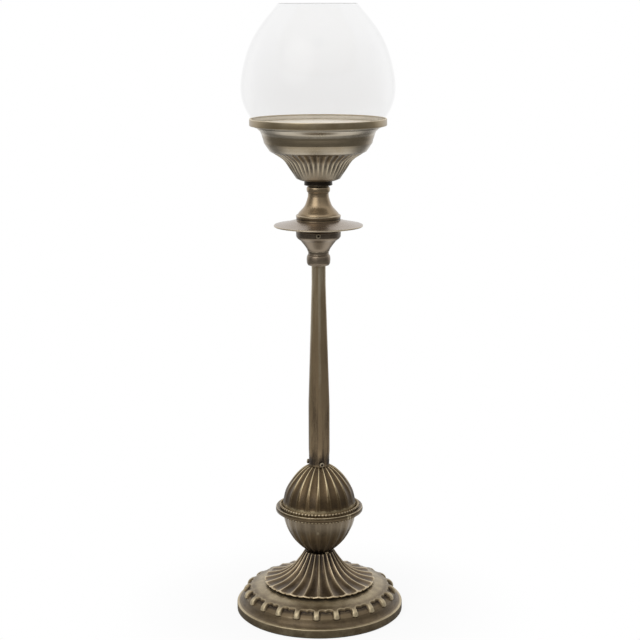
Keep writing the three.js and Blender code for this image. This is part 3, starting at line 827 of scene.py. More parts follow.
# One half of the ball, from its neck to its flange and back inside
def makeShell(name, finish, half, cut, dent=None):
    flangeEdge, foot, top = span(half["node"])
    up = half["up"]
    neck, flangeFace = (foot, top) if up > 0 else (top, foot)
    flangeBack = flangeFace - up * ballShells["flange"]
    floor = neck + up * ballShells["wall"]
    radius = ballShells["radius"]
    inward, rise = half["inside"]
    run = shapedRun((half["neckRadius"], neck), (radius, flangeBack - up * 0.4), half["swell"], 11)
    mesh = spinOutline(
        plain((rodBore, neck))
        + pressed(run)
        + plain(
            (flangeEdge, flangeBack, 0.4),
            (flangeEdge, flangeFace, 0.3),
            (radius - 3.4, flangeFace),
            (radius - 6.4, flangeFace - up * 16),
            (radius - inward, flangeFace - up * rise),
            (half["neckRadius"] - 1, floor),
            (rodBore, floor),
        ),
        ballShells["flutes"] * ballShells["stepsPerFlute"],
    )
    pressFlutes(mesh, run, ballShells, half["ridge"], cut)
    if dent:
        dent(mesh)
    keepPiece(mesh, name, finish, [half["node"]], rubReach=ballShells["rubReach"])


# Small dent in the lower half, with a painted highlight in it
dentGlint = {
    "angle": -2.4,
    "height": 86.4,
    "width": 0.6,
    "length": 1.6,  # times its width
    "depth": 0.4,
    "bright": 0.65,
    "reach": 4,
}


def makeDentAndGlint(mesh):
    wearAndLight = layerOf(mesh, "wearAndLight")
    for vert in mesh.verts:
        sideways = math.radians(angleOf(vert.co) - dentGlint["angle"]) * radiusOf(vert.co)
        upwards = (levelOf(vert.co) - dentGlint["height"]) / dentGlint["length"]
        away = math.hypot(sideways, upwards) / dentGlint["width"]
        if away < dentGlint["reach"]:
            shift(vert, -dentGlint["depth"] * hump(away, 1), 0)
            # Painted highlight in the dent
            vert[wearAndLight] += dentGlint["bright"] * math.exp(-(away ** 2) / 2)


makeShell("ball_dome", domeBronze, ballShells["dome"], domeFlute)
makeShell("ball_cup", ballBronze, ballShells["lower"], lowerFlute, makeDentAndGlint)


# Blob of solder left at the neck between the ball and the skirt
solder = {"angle": 33.0, "radius": 12.6, "height": 59.6, "size": (1.9, 1.5, 1.0), "rings": (20, 12)}
solderMesh = bmesh.new()
solderMesh.verts.layers.float.new("wearAndLight")
solderTurn = Matrix.Rotation(math.radians(solder["angle"]), 4, "Z")
solderPlace = solderTurn @ Matrix.Translation((0, -solder["radius"] * mm, solder["height"] * mm))
solderSize = Matrix.Diagonal((*[size * mm for size in solder["size"]], 1))
around, upwards = solder["rings"]
bmesh.ops.create_uvsphere(
    solderMesh, u_segments=around, v_segments=upwards, radius=1, matrix=solderPlace @ solderSize,
)
keepPiece(solderMesh, "neck_solder", skirtBronze)


# Split hoop that binds the two flanges
ballHoop = {
    "lipRadius": 38.7,
    "slotRadius": 40.2,
    "lip": 0.6,
    "splitAngle": 42.7,
    "splitWidth": 1.3,
    "outerEdgeHighlight": 0.5,
    "topShade": -0.26,
    "underShade": -0.3,
    "splitRub": 0.4,
    "steps": 220,
}


# Painted highlight along the hoop's outer top edge, painted shade on its top face and underside, and paler
# by the split
def paintHoopLightAndWear(mesh, size):
    wearAndLight = layerOf(mesh, "wearAndLight")
    for vert in mesh.verts:
        up = (levelOf(vert.co) - hoopFoot) / hoopHeight
        fromSplit = abs(offNearest(vert.co, 1, size["splitAngle"])) * 2 * math.pi * hoopRadius
        atOuterEdge = ease(hoopRadius - 1.5, hoopRadius - 0.8, radiusOf(vert.co))
        paleness = (size["outerEdgeHighlight"] * atOuterEdge + size["topShade"]) * ease(0.86, 0.98, up)
        paleness += size["underShade"] * (1 - ease(0.0, 0.3, up))
        vert[wearAndLight] = paleness + size["splitRub"] * (1 - ease(0.9, 2.4, fromSplit))


hoopRadius, hoopFoot, hoopTop = span("ball_hoop")
hoopLip = ballHoop["lip"]
hoopHeight = hoopTop - hoopFoot
hoopGap = math.degrees(ballHoop["splitWidth"] / hoopRadius)
hoopMesh = spinOutline(
    plain(
        (ballHoop["lipRadius"], hoopFoot, 0.25),
        (hoopRadius - 0.4, hoopFoot, 0.9),
        (hoopRadius, hoopFoot + 0.45 * hoopHeight, 1.2),
        (hoopRadius - 0.55, hoopTop, 0.6),
        (ballHoop["lipRadius"], hoopTop, 0.25),
        (ballHoop["lipRadius"], hoopTop - hoopLip),
        (ballHoop["slotRadius"], hoopTop - hoopLip),
        (ballHoop["slotRadius"], hoopFoot + hoopLip),
        (ballHoop["lipRadius"], hoopFoot + hoopLip),
    ),
    ballHoop["steps"],
    gap=hoopGap,
)
splitTurn = Matrix.Rotation(math.radians(ballHoop["splitAngle"] + hoopGap / 2), 3, "Z")
bmesh.ops.rotate(hoopMesh, verts=hoopMesh.verts, cent=(0, 0, 0), matrix=splitTurn)
paintHoopLightAndWear(hoopMesh, ballHoop)
keepPiece(hoopMesh, "ball_binding", hoopBronze, ["ball_hoop"], rubReach=0.3)


# Beaded wires either side of the hoop
beadWires = {
    "beads": 72,
    "middleRadius": 37.2,
    "stout": 1.12,  # size of a bead against the wire of the solid
    "long": 1.42,
    "neck": 0.58,  # size of the wire between two beads
    "stepsPerBead": 8,
    "sides": 10,
    "beadRub": 0.14,
    "neckShade": -0.6,
}


def makeBeadWire(name, node):
    foot, top = span(node)[1:]
    size = (top - foot) / 2 * beadWires["stout"]
    middle = Vector((beadWires["middleRadius"], (foot + top) / 2))
    turns = [2 * math.pi * side / beadWires["sides"] for side in range(beadWires["sides"])]
    ring = [(middle.x + size * math.cos(turn), middle.y + size * math.sin(turn)) for turn in turns]
    mesh = spinOutline(plain(*ring), beadWires["beads"] * beadWires["stepsPerBead"])
    wearAndLight = layerOf(mesh, "wearAndLight")
    pitch = 2 * math.pi * middle.x / beadWires["beads"]
    for vert in mesh.verts:
        off = abs(offNearest(vert.co, beadWires["beads"], 0)) * pitch
        roundness = math.sqrt(max(0, 1 - (off / (size * beadWires["long"])) ** 2))
        bulge = max(beadWires["neck"], roundness)
        radial = Vector((vert.co.x, vert.co.y, 0)).normalized()
        core = radial * middle.x * mm + Vector((0, 0, middle.y * mm))
        vert.co = core + (vert.co - core) * bulge
        # Painted shade in the necks between the beads
        inNeck = 1 - ease(beadWires["neck"], 0.78, bulge)
        vert[wearAndLight] = beadWires["beadRub"] * ease(0.7, 0.95, bulge) + beadWires["neckShade"] * inNeck
    return keepPiece(mesh, name, beadBronze, [node], sharpAngle=180, rubReach=0.3)


makeBeadWire("beads_above_hoop", "upper_bead_wire")
makeBeadWire("beads_below_hoop", "lower_bead_wire")


# Column: a six-sided tube with soft corners, swaged round at its foot
columnTube = {
    "wall": 1.2,
    "topInside": 5.25,
    "footApothem": 9.7,
    "topApothem": 6.45,
    "roundHeight": 4.0,
    "swageHeight": 12.0,
    "footHeight": 60.0,
    "taperHeight": 116.0,
    "rows": (24, 36, 8),  # foot, taper and top
    "sides": 6,
    "cornerAngle": 5.0,
    "cornerSharpness": 0.72,
    "cornerWearAndHighlight": 0.4,
    "footDarkening": -0.26,
    "lowerRub": -0.12,
    "upperRub": 0.16,
    "stepsPerSide": 20,
}


def squareColumn(mesh, size, foot):
    wearAndLight = layerOf(mesh, "wearAndLight")
    for vert, _ in pressedPoints(mesh):
        height = levelOf(vert.co) - foot
        flatness = ease(0, size["swageHeight"], height - size["roundHeight"])
        offCorner = offNearest(vert.co, size["sides"], size["cornerAngle"])
        softness = (1 - size["cornerSharpness"]) * ease(0.36, 0.5, 0.5 - abs(offCorner))
        flat = 1 / math.cos(offFlat(vert.co, size["sides"], size["cornerAngle"]) * (1 - softness))
        shift(vert, radiusOf(vert.co) * (flat - 1) * flatness, 0)
        # Rubbed corners with a painted highlight along them
        paleness = size["cornerWearAndHighlight"] * flatness * hump(offCorner, 0.04)
        paleness += size["footDarkening"] * (1 - ease(2, 22, height))
        paleness += size["lowerRub"] * (1 - ease(30, 150, height))
        vert[wearAndLight] = paleness + size["upperRub"] * ease(90, 190, height)


tubeFoot, tubeTop = span("column")[1:]
taperFoot = tubeFoot + columnTube["footHeight"]
taperTop = taperFoot + columnTube["taperHeight"]
tubeHeights = (tubeFoot, taperFoot, taperTop, tubeTop)
tubeRadii = (columnTube["footApothem"],) * 2 + (columnTube["topApothem"],) * 2
tubeRun = []
for part, count in enumerate(columnTube["rows"]):
    low, high = tubeHeights[part:part + 2]
    lowRadius, highRadius = tubeRadii[part:part + 2]
    for index in range(count):
        share = index / count
        tubeRun.append((lowRadius + (highRadius - lowRadius) * share, low + (high - low) * share))
tubeRun.append((columnTube["topApothem"], tubeTop))
footInside = columnTube["footApothem"] - columnTube["wall"]
tubeMesh = spinOutline(
    pressed(tubeRun)
    + plain(
        (columnTube["topInside"], tubeTop),
        (columnTube["topInside"], taperTop),
        (footInside, taperFoot),
        (footInside, tubeFoot),
    ),
    columnTube["sides"] * columnTube["stepsPerSide"],
)
squareColumn(tubeMesh, columnTube, tubeFoot)
keepPiece(tubeMesh, "column_tube", columnBronze, ["column"])


# Socket screws
socketScrew = {
    "head": 2.2,
    "headHeight": 1.9,
    "shank": 1.3,
    "shankLength": 1.6,
    "socket": 1.1,
    "socketDepth": 1.3,
    "socketSides": 6,
    "socketFit": 0.94,
    "socketShade": -0.5,
    "footDarkening": -0.2,
    "headRub": 0.4,  # added from the foot of the head to its top
    "steps": 36,
}
columnScrews = {"first": 14.0, "seat": 10.0, "lift": 2.7}
collarScrews = {"first": 0.0, "seat": 21.25, "drop": 2.65}
screwsPerRing = 3


def makeScrew(name, node, angle, seat, height):
    size = socketScrew
    headTop = seat + size["headHeight"]
    mesh = spinOutline(plain(
        (0, seat - size["shankLength"]),
        (size["shank"], seat - size["shankLength"], 0.3),
        (size["shank"], seat),
        (size["head"], seat, 0.2),
        (size["head"], headTop, 0.55),
        (size["socket"], headTop, 0.15),
        (size["socket"], headTop - size["socketDepth"], 0.1),
        (0, headTop - size["socketDepth"] - 0.2),
    ), size["steps"], isClosed=False)
    wearAndLight = layerOf(mesh, "wearAndLight")
    dark = headTop - 0.5 * size["socketDepth"]
    for vert in mesh.verts:
        radius = radiusOf(vert.co)
        up = levelOf(vert.co)
        if up > seat + 0.3 and radius < size["socket"] + 0.12:
            flat = size["socketFit"] / math.cos(offFlat(vert.co, size["socketSides"], 0))
            shift(vert, radius * (flat - 1), 0)
            # Painted shade in the socket
            vert[wearAndLight] = size["socketShade"] * (1 - ease(dark, dark + 0.6, up))
        else:
            vert[wearAndLight] = size["footDarkening"] + size["headRub"] * ease(seat, headTop, up)
    aim = Matrix.Rotation(math.radians(angle), 4, "Z") @ Matrix.Rotation(math.pi / 2, 4, "X")
    bmesh.ops.transform(mesh, matrix=Matrix.Translation((0, 0, height * mm)) @ aim, verts=mesh.verts)
    return keepPiece(mesh, name, screwBronze, [node], rubReach=0.25)


bandRadius, collarFoot, collarTop = span("lower_collar")
for number in range(1, screwsPerRing + 1):
    turned = 360 / screwsPerRing * (number - 1)
    makeScrew(
        f"column_socket_screw_{number}", f"column_screw_{number}",
        columnScrews["first"] + turned, columnScrews["seat"], tubeFoot + columnScrews["lift"],
    )
    makeScrew(
        f"collar_socket_screw_{number}", f"collar_screw_{number}",
        collarScrews["first"] + turned, collarScrews["seat"], collarTop - collarScrews["drop"],
    )


# Lower collar: bead, neck, bell and band
lowerCollar = {
    "socket": 7.75,
    "neckRadius": 9.85,
    "beadSwell": 1.25,
    "beadHeight": 10.6,
    "neckHeight": 3.0,
    "bellHeight": 14.0,
    "bellFlare": [(0.16, 0.24), (0.56, 0.62)],
    "socketDepth": 8.0,
    "spigotHole": 7.3,
    "spigotDepth": 8.2,
    "bandPaintedLight": -0.3,
    "beadRub": -0.12,
    "steps": 128,
}
collarNeck = lowerCollar["neckRadius"]
beadTop = collarFoot + lowerCollar["beadHeight"]
bellFoot = beadTop + lowerCollar["neckHeight"]
bandFoot = bellFoot + lowerCollar["bellHeight"]
socketTop = collarFoot + lowerCollar["socketDepth"]
spigotFloor = collarTop - lowerCollar["spigotDepth"]
collarBead = halfRound(
    collarNeck + 0.3, lowerCollar["beadSwell"] - 0.3, collarFoot + 1, lowerCollar["beadHeight"] - 2,
)
collarBell = shapedRun(
    (collarNeck + 0.3, bellFoot), (bandRadius - 4.2, bandFoot - 4.3), lowerCollar["bellFlare"], 6,
)
collarMesh = spinOutline(plain(
    (lowerCollar["socket"], collarFoot, 0.2),
    (collarNeck, collarFoot, 0.6),
    *collarBead,
    (collarNeck - 0.2, beadTop - 0.2, 0.5),
    (collarNeck - 0.2, bellFoot - 0.7, 0.3),
    (collarNeck + 0.5, bellFoot - 0.4, 0.2),
    *collarBell,
    (bandRadius - 1.4, bandFoot - 2.4, 0.5),
    (bandRadius - 0.2, bandFoot - 0.7, 0.7),
    (bandRadius, collarTop - 0.8, 0.5),
    (bandRadius - 1.1, collarTop, 0.4),
    (lowerCollar["spigotHole"], collarTop),
    (lowerCollar["spigotHole"], spigotFloor),
    (rodBore, spigotFloor),
    (rodBore, socketTop),
    (lowerCollar["socket"], socketTop),
), lowerCollar["steps"])


# Painted shadow on the band under the drip disc and painted shade on the bead
def collarPaintedShade(radius, height):
    onBand = ease(bandFoot - 1.6, bandFoot - 0.2, height)
    onBead = 1 - ease(beadTop - 6, beadTop + 2, height)
    return lowerCollar["bandPaintedLight"] * onBand + lowerCollar["beadRub"] * onBead


addWearAndLight(collarMesh, collarPaintedShade)
keepPiece(collarMesh, "collar_bell", collarBronze, ["lower_collar"])


# Drip disc: a saucer with a thin rounded edge
dripDisc = {"hole": 7.3, "hubRadius": 20.95, "edge": 1.5, "edgeSwell": 0.75, "drop": 4.4, "steps": 160}
discRadius, discFoot, discTop = span("drip_disc")
edgeTop = discTop - dripDisc["drop"]
edgeFoot = edgeTop - dripDisc["edge"]
edgeSwell = dripDisc["edgeSwell"]
hub = dripDisc["hubRadius"]
discUnder = smoothRun([
    (hub - 3, discFoot),
    (hub + 4, discFoot + 0.7),
    (discRadius - 6, edgeFoot + 0.5),
    (discRadius - 1.4, edgeFoot - 0.1),
], 6)
discOver = smoothRun([
    (discRadius - 2, edgeTop + 0.1),
    (discRadius - 6, edgeTop + 0.9),
    (hub + 7, discTop - 1.7),
    (hub + 2.6, discTop - 0.5),
    (hub + 0.6, discTop),
], 6)
discMesh = spinOutline(plain(
    (dripDisc["hole"], discFoot),
    *discUnder,
    *halfRound(discRadius - edgeSwell, edgeSwell, edgeFoot, dripDisc["edge"], 8),
    *discOver,
    (dripDisc["hole"], discTop),
), dripDisc["steps"])
keepPiece(discMesh, "drip_saucer", discBronze, ["drip_disc"])


# Spindle: band, cone, neck and ring
spindleTurning = {
    "spigot": 7.0,
    "seatGap": 0.15,
    "bandHeight": 5.0,
    "coneHeight": 17.0,
    "coneSweep": [(0.1, 0.1), (0.29, 0.22), (0.63, 0.44), (0.82, 0.66)],
    "neckRadius": 9.7,
    "neckHeight": 4.0,
    "ringSwell": 1.2,
    "ringHeight": 5.0,
    "edgeHighlight": 0.12,
    "bandPaintedLight": -0.24,
    "steps": 128,
}
spindleRadius, spigotFoot, spindleTop = span("spindle")
spindleFoot = discTop + spindleTurning["seatGap"]
spindleNeck = spindleTurning["neckRadius"]
bandTop = spindleFoot + spindleTurning["bandHeight"]
neckFoot = bandTop + spindleTurning["coneHeight"]
ringFoot = neckFoot + spindleTurning["neckHeight"]
ringTop = ringFoot + spindleTurning["ringHeight"]
spindleCone = shapedRun(
    (spindleRadius - 1.6, bandTop), (spindleNeck, neckFoot), spindleTurning["coneSweep"], 6,
)
spindleRing = halfRound(
    spindleNeck + 0.3, spindleTurning["ringSwell"] - 0.3, ringFoot, spindleTurning["ringHeight"],
)
spindleMesh = spinOutline(plain(
    (rodBore, spigotFoot),
    (spindleTurning["spigot"], spigotFoot, 0.4),
    (spindleTurning["spigot"], spindleFoot),
    (spindleRadius - 0.2, spindleFoot, 0.2),
    (spindleRadius - 0.5, spindleFoot + 1.2, 0.5),
    (spindleRadius, bandTop - 0.7, 0.5),
    (spindleRadius - 0.9, bandTop, 0.4),
    *spindleCone,
    (spindleNeck - 0.1, ringFoot - 0.9, 0.4),
    (spindleNeck + 0.3, ringFoot - 0.1, 0.2),
    *spindleRing,
    (spindleNeck, ringTop + 0.2, 0.2),
    (spindleNeck - 0.4, spindleTop, 0.3),
    (rodBore, spindleTop),
), spindleTurning["steps"])


# Painted highlight along the top edge of the band, painted shade on the band under it
def spindlePaintedLight(radius, height):
    underEdge = 1 - ease(bandTop - 1.6, bandTop - 0.6, height)
    return spindleTurning["edgeHighlight"] * hump(height - bandTop, 0.5) + spindleTurning["bandPaintedLight"] * underEdge


addWearAndLight(spindleMesh, spindlePaintedLight)
keepPiece(spindleMesh, "spindle_turning", spindleBronze, ["spindle"])


# Fluted cup under the bowl
flutedCup = {
    "footRadius": 13.4,
    "footHeight": 4.0,
    "shelf": 7.0,
    "shelfRise": 2.2,
    "flareOut": 1.3,
    "flare": [(0.24, 0.34), (0.48, 0.67), (0.8, 0.89)],
    "floor": 3.0,
    "flutes": 40,
    "ridgeAngle": 0,
    "ridge": (0.12, 0, 0, 1),
    "depth": 0.85,
    "ridgeRub": 0.2,
    "hollowRub": -0.14,
    "footDarkening": -0.5,
    "stepsPerFlute": 12,
}


def cupFlute(share, across, edge):
    arch = 0.93 - 0.09 * (1 - across) ** 2  # rounded upper end of a flute
    inFlute = ease(0.02, 0.4, share) * (1 - ease(arch - 0.06, arch, share))
    paleness = flutedCup["ridgeRub"] * hump(across, 0.25) + flutedCup["hollowRub"] * ease(0.2, 0.7, across)
    return flutedCup["depth"] * inFlute, paleness * inFlute


# Painted shade on the foot under the cup
def cupPaintedShade(radius, height):
    return flutedCup["footDarkening"] * (1 - ease(shelfFoot - 0.6, shelfFoot + 0.8, height))


cupRadius, cupFoot, cupTop = span("fluted_cup")
cupRadius += flutedCup["flareOut"]
cupFloor = cupFoot + flutedCup["floor"]
cupFootRadius = flutedCup["footRadius"]
shelfFoot = cupFoot + flutedCup["footHeight"]
fluteRadius = cupFootRadius + flutedCup["shelf"]
fluteFoot = shelfFoot + flutedCup["shelfRise"]
cupRun = shapedRun((fluteRadius, fluteFoot), (cupRadius, cupTop), flutedCup["flare"], 9)
cupMesh = spinOutline(
    plain(
        (rodBore, cupFoot),
        (cupFootRadius - 0.3, cupFoot, 0.3),
        (cupFootRadius - 0.5, shelfFoot, 0.5),
        (cupFootRadius + 2.6, shelfFoot + 0.2, 1.5),
    )
    + pressed(cupRun)
    + plain(
        (cupRadius - 2.4, cupTop),
        (cupRadius - 12, cupTop - 5.6),
        (fluteRadius - 1.6, fluteFoot + 3),
        (cupFootRadius - 2, cupFloor),
        (rodBore, cupFloor),
    ),
    flutedCup["flutes"] * flutedCup["stepsPerFlute"],
)
pressFlutes(cupMesh, cupRun, flutedCup, flutedCup["ridge"], cupFlute)
addWearAndLight(cupMesh, cupPaintedShade)
keepPiece(cupMesh, "cup_fluting", cupBronze, ["fluted_cup"])


# Spun bowl: slanted band, cove and rim
spunBowl = {
    "footRadius": 44.8,
    "bandHeight": 7.4,
    "bandWidth": 5.1,
    "bellyHeight": 6.0,
    "bellyWidth": 1.7,
    "coveSweep": [(0.14, 0.3), (0.38, 0.64)],
    "lip": 1.1,
    "sheet": 1.8,
    "covePaintedLight": 0.32,
    "lipHighlight": 0.4,
    "bellyShade": -0.04,
    "bandPaintedLight": 0.14,
    "steps": 192,
}
bowlRadius, bowlFoot, bowlTop = span("bowl")
bowlFootRadius = spunBowl["footRadius"]
bellyFoot = bowlFoot + spunBowl["bandHeight"]
bellyRadius = bowlFootRadius + spunBowl["bandWidth"]
coveFoot = bellyFoot + spunBowl["bellyHeight"]
coveRadius = bellyRadius + spunBowl["bellyWidth"]
bowlLip = bowlRadius + spunBowl["lip"]
bowlSheet = spunBowl["sheet"]
bowlBelly = smoothRun([
    (bellyRadius + 0.15, bellyFoot + 0.9),
    (bellyRadius + 0.8, bellyFoot + 3.4),
    (coveRadius, coveFoot),
], 4)
bowlCove = shapedRun((coveRadius, coveFoot), (bowlRadius - 1.4, bowlTop - 2.0), spunBowl["coveSweep"], 6)
bowlMesh = spinOutline(plain(
    (bowlFootRadius - bowlSheet, bowlFoot),
    (bowlFootRadius, bowlFoot, 0.3),
    (bellyRadius - 0.2, bellyFoot - 0.2, 0.25),
    (bellyRadius, bellyFoot + 0.3, 0.15),
    *bowlBelly[:-1],
    *bowlCove,
    (bowlRadius - 1.3, bowlTop - 1.4, 0.2),
    (bowlLip - 0.4, bowlTop - 1.1, 0.3),
    (bowlLip, bowlTop, 0.3),
    (bowlRadius - 2.2, bowlTop),
    (coveRadius - bowlSheet, coveFoot + 1),
    (bellyRadius - bowlSheet, bellyFoot + 0.4),
), spunBowl["steps"])


# Painted light on the cove under the tray's overhang, a painted highlight on the lip, painted shade on the
# belly and a painted reflection on the slanted band
def bowlPaintedLight(radius, height):
    inCove = ease(coveFoot, coveFoot + 3, height) * (1 - ease(bowlTop - 2.2, bowlTop - 1.5, height))
    onBelly = ease(bellyFoot, bellyFoot + 0.4, height) * (1 - ease(coveFoot - 1, coveFoot + 1, height))
    onBand = 1 - ease(bellyFoot - 1.2, bellyFoot - 0.2, height)
    atLip = ease(bowlTop - 1.2, bowlTop - 0.8, height)
    paleness = spunBowl["covePaintedLight"] * inCove + spunBowl["lipHighlight"] * atLip
    return paleness + spunBowl["bellyShade"] * onBelly + spunBowl["bandPaintedLight"] * onBand


addWearAndLight(bowlMesh, bowlPaintedLight)
keepPiece(bowlMesh, "bowl_spinning", bowlBronze, ["bowl"])


# Tray with the rim band that holds the glass
trayDish = {
    "floor": 2.0,
    "lip": 1.3,
    "lipHeight": 4.6,
    "dimpleRadius": 8.97,
    "wallPaintedLight": 0.55,
    "floorRub": -0.15,
    "edgeHighlight": 0.3,
    "steps": 192,
}
trayRadius, dimpleUnder, lipTop = span("tray")
trayFloor = lipTop - trayDish["lipHeight"]
trayUnder = trayFloor - trayDish["floor"]
trayInside = trayRadius - trayDish["lip"]
dimple = trayDish["dimpleRadius"]
dimpleOutside = dimple + trayDish["floor"]
dimpleTop = dimpleUnder + trayDish["floor"]
trayMesh = spinOutline(plain(
    (rodBore, dimpleUnder),
    (dimpleOutside, dimpleUnder, 0.8),
    (dimpleOutside, trayUnder, 0.5),
    (trayRadius - 1.6, trayUnder, 0.3),
    (trayRadius, trayUnder + 0.1, 0.7),
    (trayRadius, lipTop, 0.55),
    (trayInside, lipTop, 0.45),
    (trayInside, lipTop - 1.2),
    (trayInside, lipTop - 2.0),
    (trayInside, trayFloor, 0.5),
    (dimple, trayFloor, 0.8),
    (dimple, dimpleTop, 0.6),
    (rodBore, dimpleTop),
), trayDish["steps"])


# Painted light inside the dish, painted highlight along the top edge of the rim band
def trayWearAndLight(radius, height):
    outside = ease(trayInside, trayInside + 0.3, radius)
    inDish = (1 - outside) * (1 - ease(lipTop - 1.6, lipTop - 0.8, height))
    onFloor = 1 - ease(trayFloor, trayFloor + 0.8, height)
    atEdge = outside * ease(lipTop - 0.7, lipTop - 0.2, height)
    return (trayDish["wallPaintedLight"] + trayDish["floorRub"] * onFloor) * inDish + trayDish["edgeHighlight"] * atEdge


addWearAndLight(trayMesh, trayWearAndLight)
trayPiece = keepPiece(trayMesh, "tray_dish", trayBronze, ["tray"])
trayPiece.data.materials.append(dishBronze)
for face in trayPiece.data.polygons:
    isInside = radiusOf(face.center) < trayInside + 0.1
    face.material_index = int(isInside and dimpleTop - 0.1 < levelOf(face.center) < lipTop - 0.9)


# Clear globe, fire-polished at the mouth
glassGlobe = {
    "wall": 2.4,
    "lipRadius": 61.7,
    "footFlare": 1.0,
    "mouthRadius": 36.2,
    "footEase": 0.7,
    "mouthEase": 0.9,
    "steps": 320,
    "curve": [  # share of the height above the tray's lip, radius
        (0.073, 66.0), (0.134, 68.6), (0.2, 70.3), (0.284, 70.8), (0.369, 70.0), (0.453, 68.3),
        (0.537, 66.0), (0.621, 63.0), (0.706, 58.9), (0.79, 53.5), (0.874, 46.9), (0.945, 40.7),
    ],
}
globeFoot, globeTop = span("glass_globe")[1:]
globeOutside = smoothRun([
    (glassGlobe["lipRadius"] - glassGlobe["footFlare"], globeFoot),
    (glassGlobe["lipRadius"], lipTop),
    *[(radius, lipTop + (globeTop - lipTop) * share) for share, radius in glassGlobe["curve"]],
    (glassGlobe["mouthRadius"], globeTop),
], 7)
globeLast = len(globeOutside) - 1
globeInside = []
for index, (radius, height) in enumerate(globeOutside):
    before = Vector(globeOutside[max(index - 1, 0)])
    after = Vector(globeOutside[min(index + 1, globeLast)])
    width, rise = (after - before).normalized()
    globeInside.append((radius - glassGlobe["wall"] * rise, height + glassGlobe["wall"] * width))
globeMesh = spinOutline(plain(
    (*globeOutside[0], glassGlobe["footEase"]),
    *globeOutside[1:-1],
    (*globeOutside[-1], glassGlobe["mouthEase"]),
    (globeInside[-1][0], globeTop, glassGlobe["mouthEase"]),
    *globeInside[-3:0:-1],
    (globeInside[0][0], globeFoot, glassGlobe["footEase"]),
), glassGlobe["steps"])
clearGlobe = keepPiece(
    globeMesh, "clear_globe", clearGlass, ["glass_globe"], body="glass", sharpAngle=180,
)
clearGlobe.visible_shadow = False  # thin clear glass lets the light through


# Hex nuts at the two ends of the clamp, their corners turned off on a cone
hexNut = {
    "sides": 6,
    "apothem": 5.0,
    "cornerAngle": 30,
    "bore": 3.05,
    "countersink": 0.5,
    "chamfer": 0.8,
    "faceInset": 0.2,
    "stepsPerSide": 16,
    "sharpAngle": 24,
}


def makeNut(name, node):
    corner, foot, top = span(node)
    size = hexNut
    mouth = size["bore"] + size["countersink"]
    faceEdge = size["apothem"] - size["faceInset"]
    mesh = spinOutline(plain(
        (size["bore"], foot + size["countersink"]),
        (mouth, foot),
        (faceEdge, foot),
        (corner, foot + size["chamfer"]),
        (corner, top - size["chamfer"]),
        (faceEdge, top),
        (mouth, top),
        (size["bore"], top - size["countersink"]),
    ), size["sides"] * size["stepsPerSide"])
    middle = (foot + top) / 2
    for vert in mesh.verts:
        radius = radiusOf(vert.co)
        flat = size["apothem"] / math.cos(offFlat(vert.co, size["sides"], size["cornerAngle"]))
        if radius > flat:
            up = size["chamfer"] * (corner - flat) / (corner - size["apothem"])
            shift(vert, flat - radius, math.copysign(up, levelOf(vert.co) - middle))
    return keepPiece(mesh, name, innerSteel, [node], sharpAngle=size["sharpAngle"])


makeNut("tray_hex_nut", "tray_nut")
makeNut("base_hex_nut", "base_nut")


# Clamp rod, threaded at its two ends
clampRod = {
    "shank": 2.7,
    "pitch": 1.0,
    "depth": 0.55,
    "thread": [(0, 0.1), (1, 0.55), (1, 0.65)],  # share of the depth and of the pitch, root to crest
    "turns": 12,
    "endChamfer": 0.4,
    "steps": 48,
}
rodRadius, rodFoot, rodTop = span("tie_rod")
rodRoot = rodRadius - clampRod["depth"]
rodEnd = rodRoot - clampRod["endChamfer"]
threadRun = [
    (rodRoot + clampRod["depth"] * crest, clampRod["pitch"] * (turn + rise))
    for turn in range(clampRod["turns"])
    for crest, rise in clampRod["thread"]
]
threadLength = clampRod["pitch"] * (clampRod["turns"] + clampRod["thread"][0][1])
rodMesh = spinOutline(plain(
    (0, rodFoot),
    (rodEnd, rodFoot),
    *[(radius, rodFoot + rise) for radius, rise in threadRun],
    (clampRod["shank"], rodFoot + threadLength),
    (clampRod["shank"], rodTop - threadLength),
    *[(radius, rodTop - rise) for radius, rise in reversed(threadRun)],
    (rodEnd, rodTop),
    (0, rodTop),
), clampRod["steps"], isClosed=False)
keepPiece(rodMesh, "clamp_rod", innerSteel, ["tie_rod"], sharpAngle=hexNut["sharpAngle"])


# The other inner pieces keep their CAD shape, in worn steel
keptNodes = [
    "base_washer", "skirt_spacer", "ball_spacer", "column_foot_bush", "column_top_bush", "bowl_spacer",
]
for node in keptNodes:
    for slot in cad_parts[node].material_slots:
        slot.material = innerSteel
print("inner pieces finished")


# Floor, lamps and the white room
studio = {
    "floorSize": 3.0,
    "paper": grey(0.62),
    "shadow": 0.09,  # share of the paper's own shade that shows near the object
    "shadowReach": (0.085, 0.22),  # metres from the axis
    "dimSide": 0.2,  # level of the room's near side, where the camera stands
    "whiteRing": (0.105, 0.16, 0.3, 0.6),  # part of the floor that the metal mirrors as white
    "whiteBehind": (0.5, 1.5),  # and all of it this far back
    "backdropWay": (0.0, 0.7),  # how far back a direction points where the backdrop comes in
    "ceilingWay": (0.2, 0.85),  # how far up, for the ceiling
    "diffuseLevel": 0.8,
    "softBox": {"towards": (-0.5, -0.71, 0.5), "inner": 0.985, "outer": 0.87, "level": 1.7},
    "key": {"place": (-0.9, -1.3, 1.7), "size": 1.2, "power": 18},
    "fill": {"place": (1.4, -1.0, 1.0), "size": 1.2, "power": 6},
    "aim": (0, 0, 0.28),
}


def lightPath(start, ray):
    return start.node("ShaderNodeLightPath", output=ray)


def glow(start, level):
    return start.node("ShaderNodeEmission", inputs={"Color": grey(1.0), "Strength": level})


def mixShaders(start, share, first, second):
    return start.node("ShaderNodeMixShader", inputs={0: share, 1: first, 2: second})


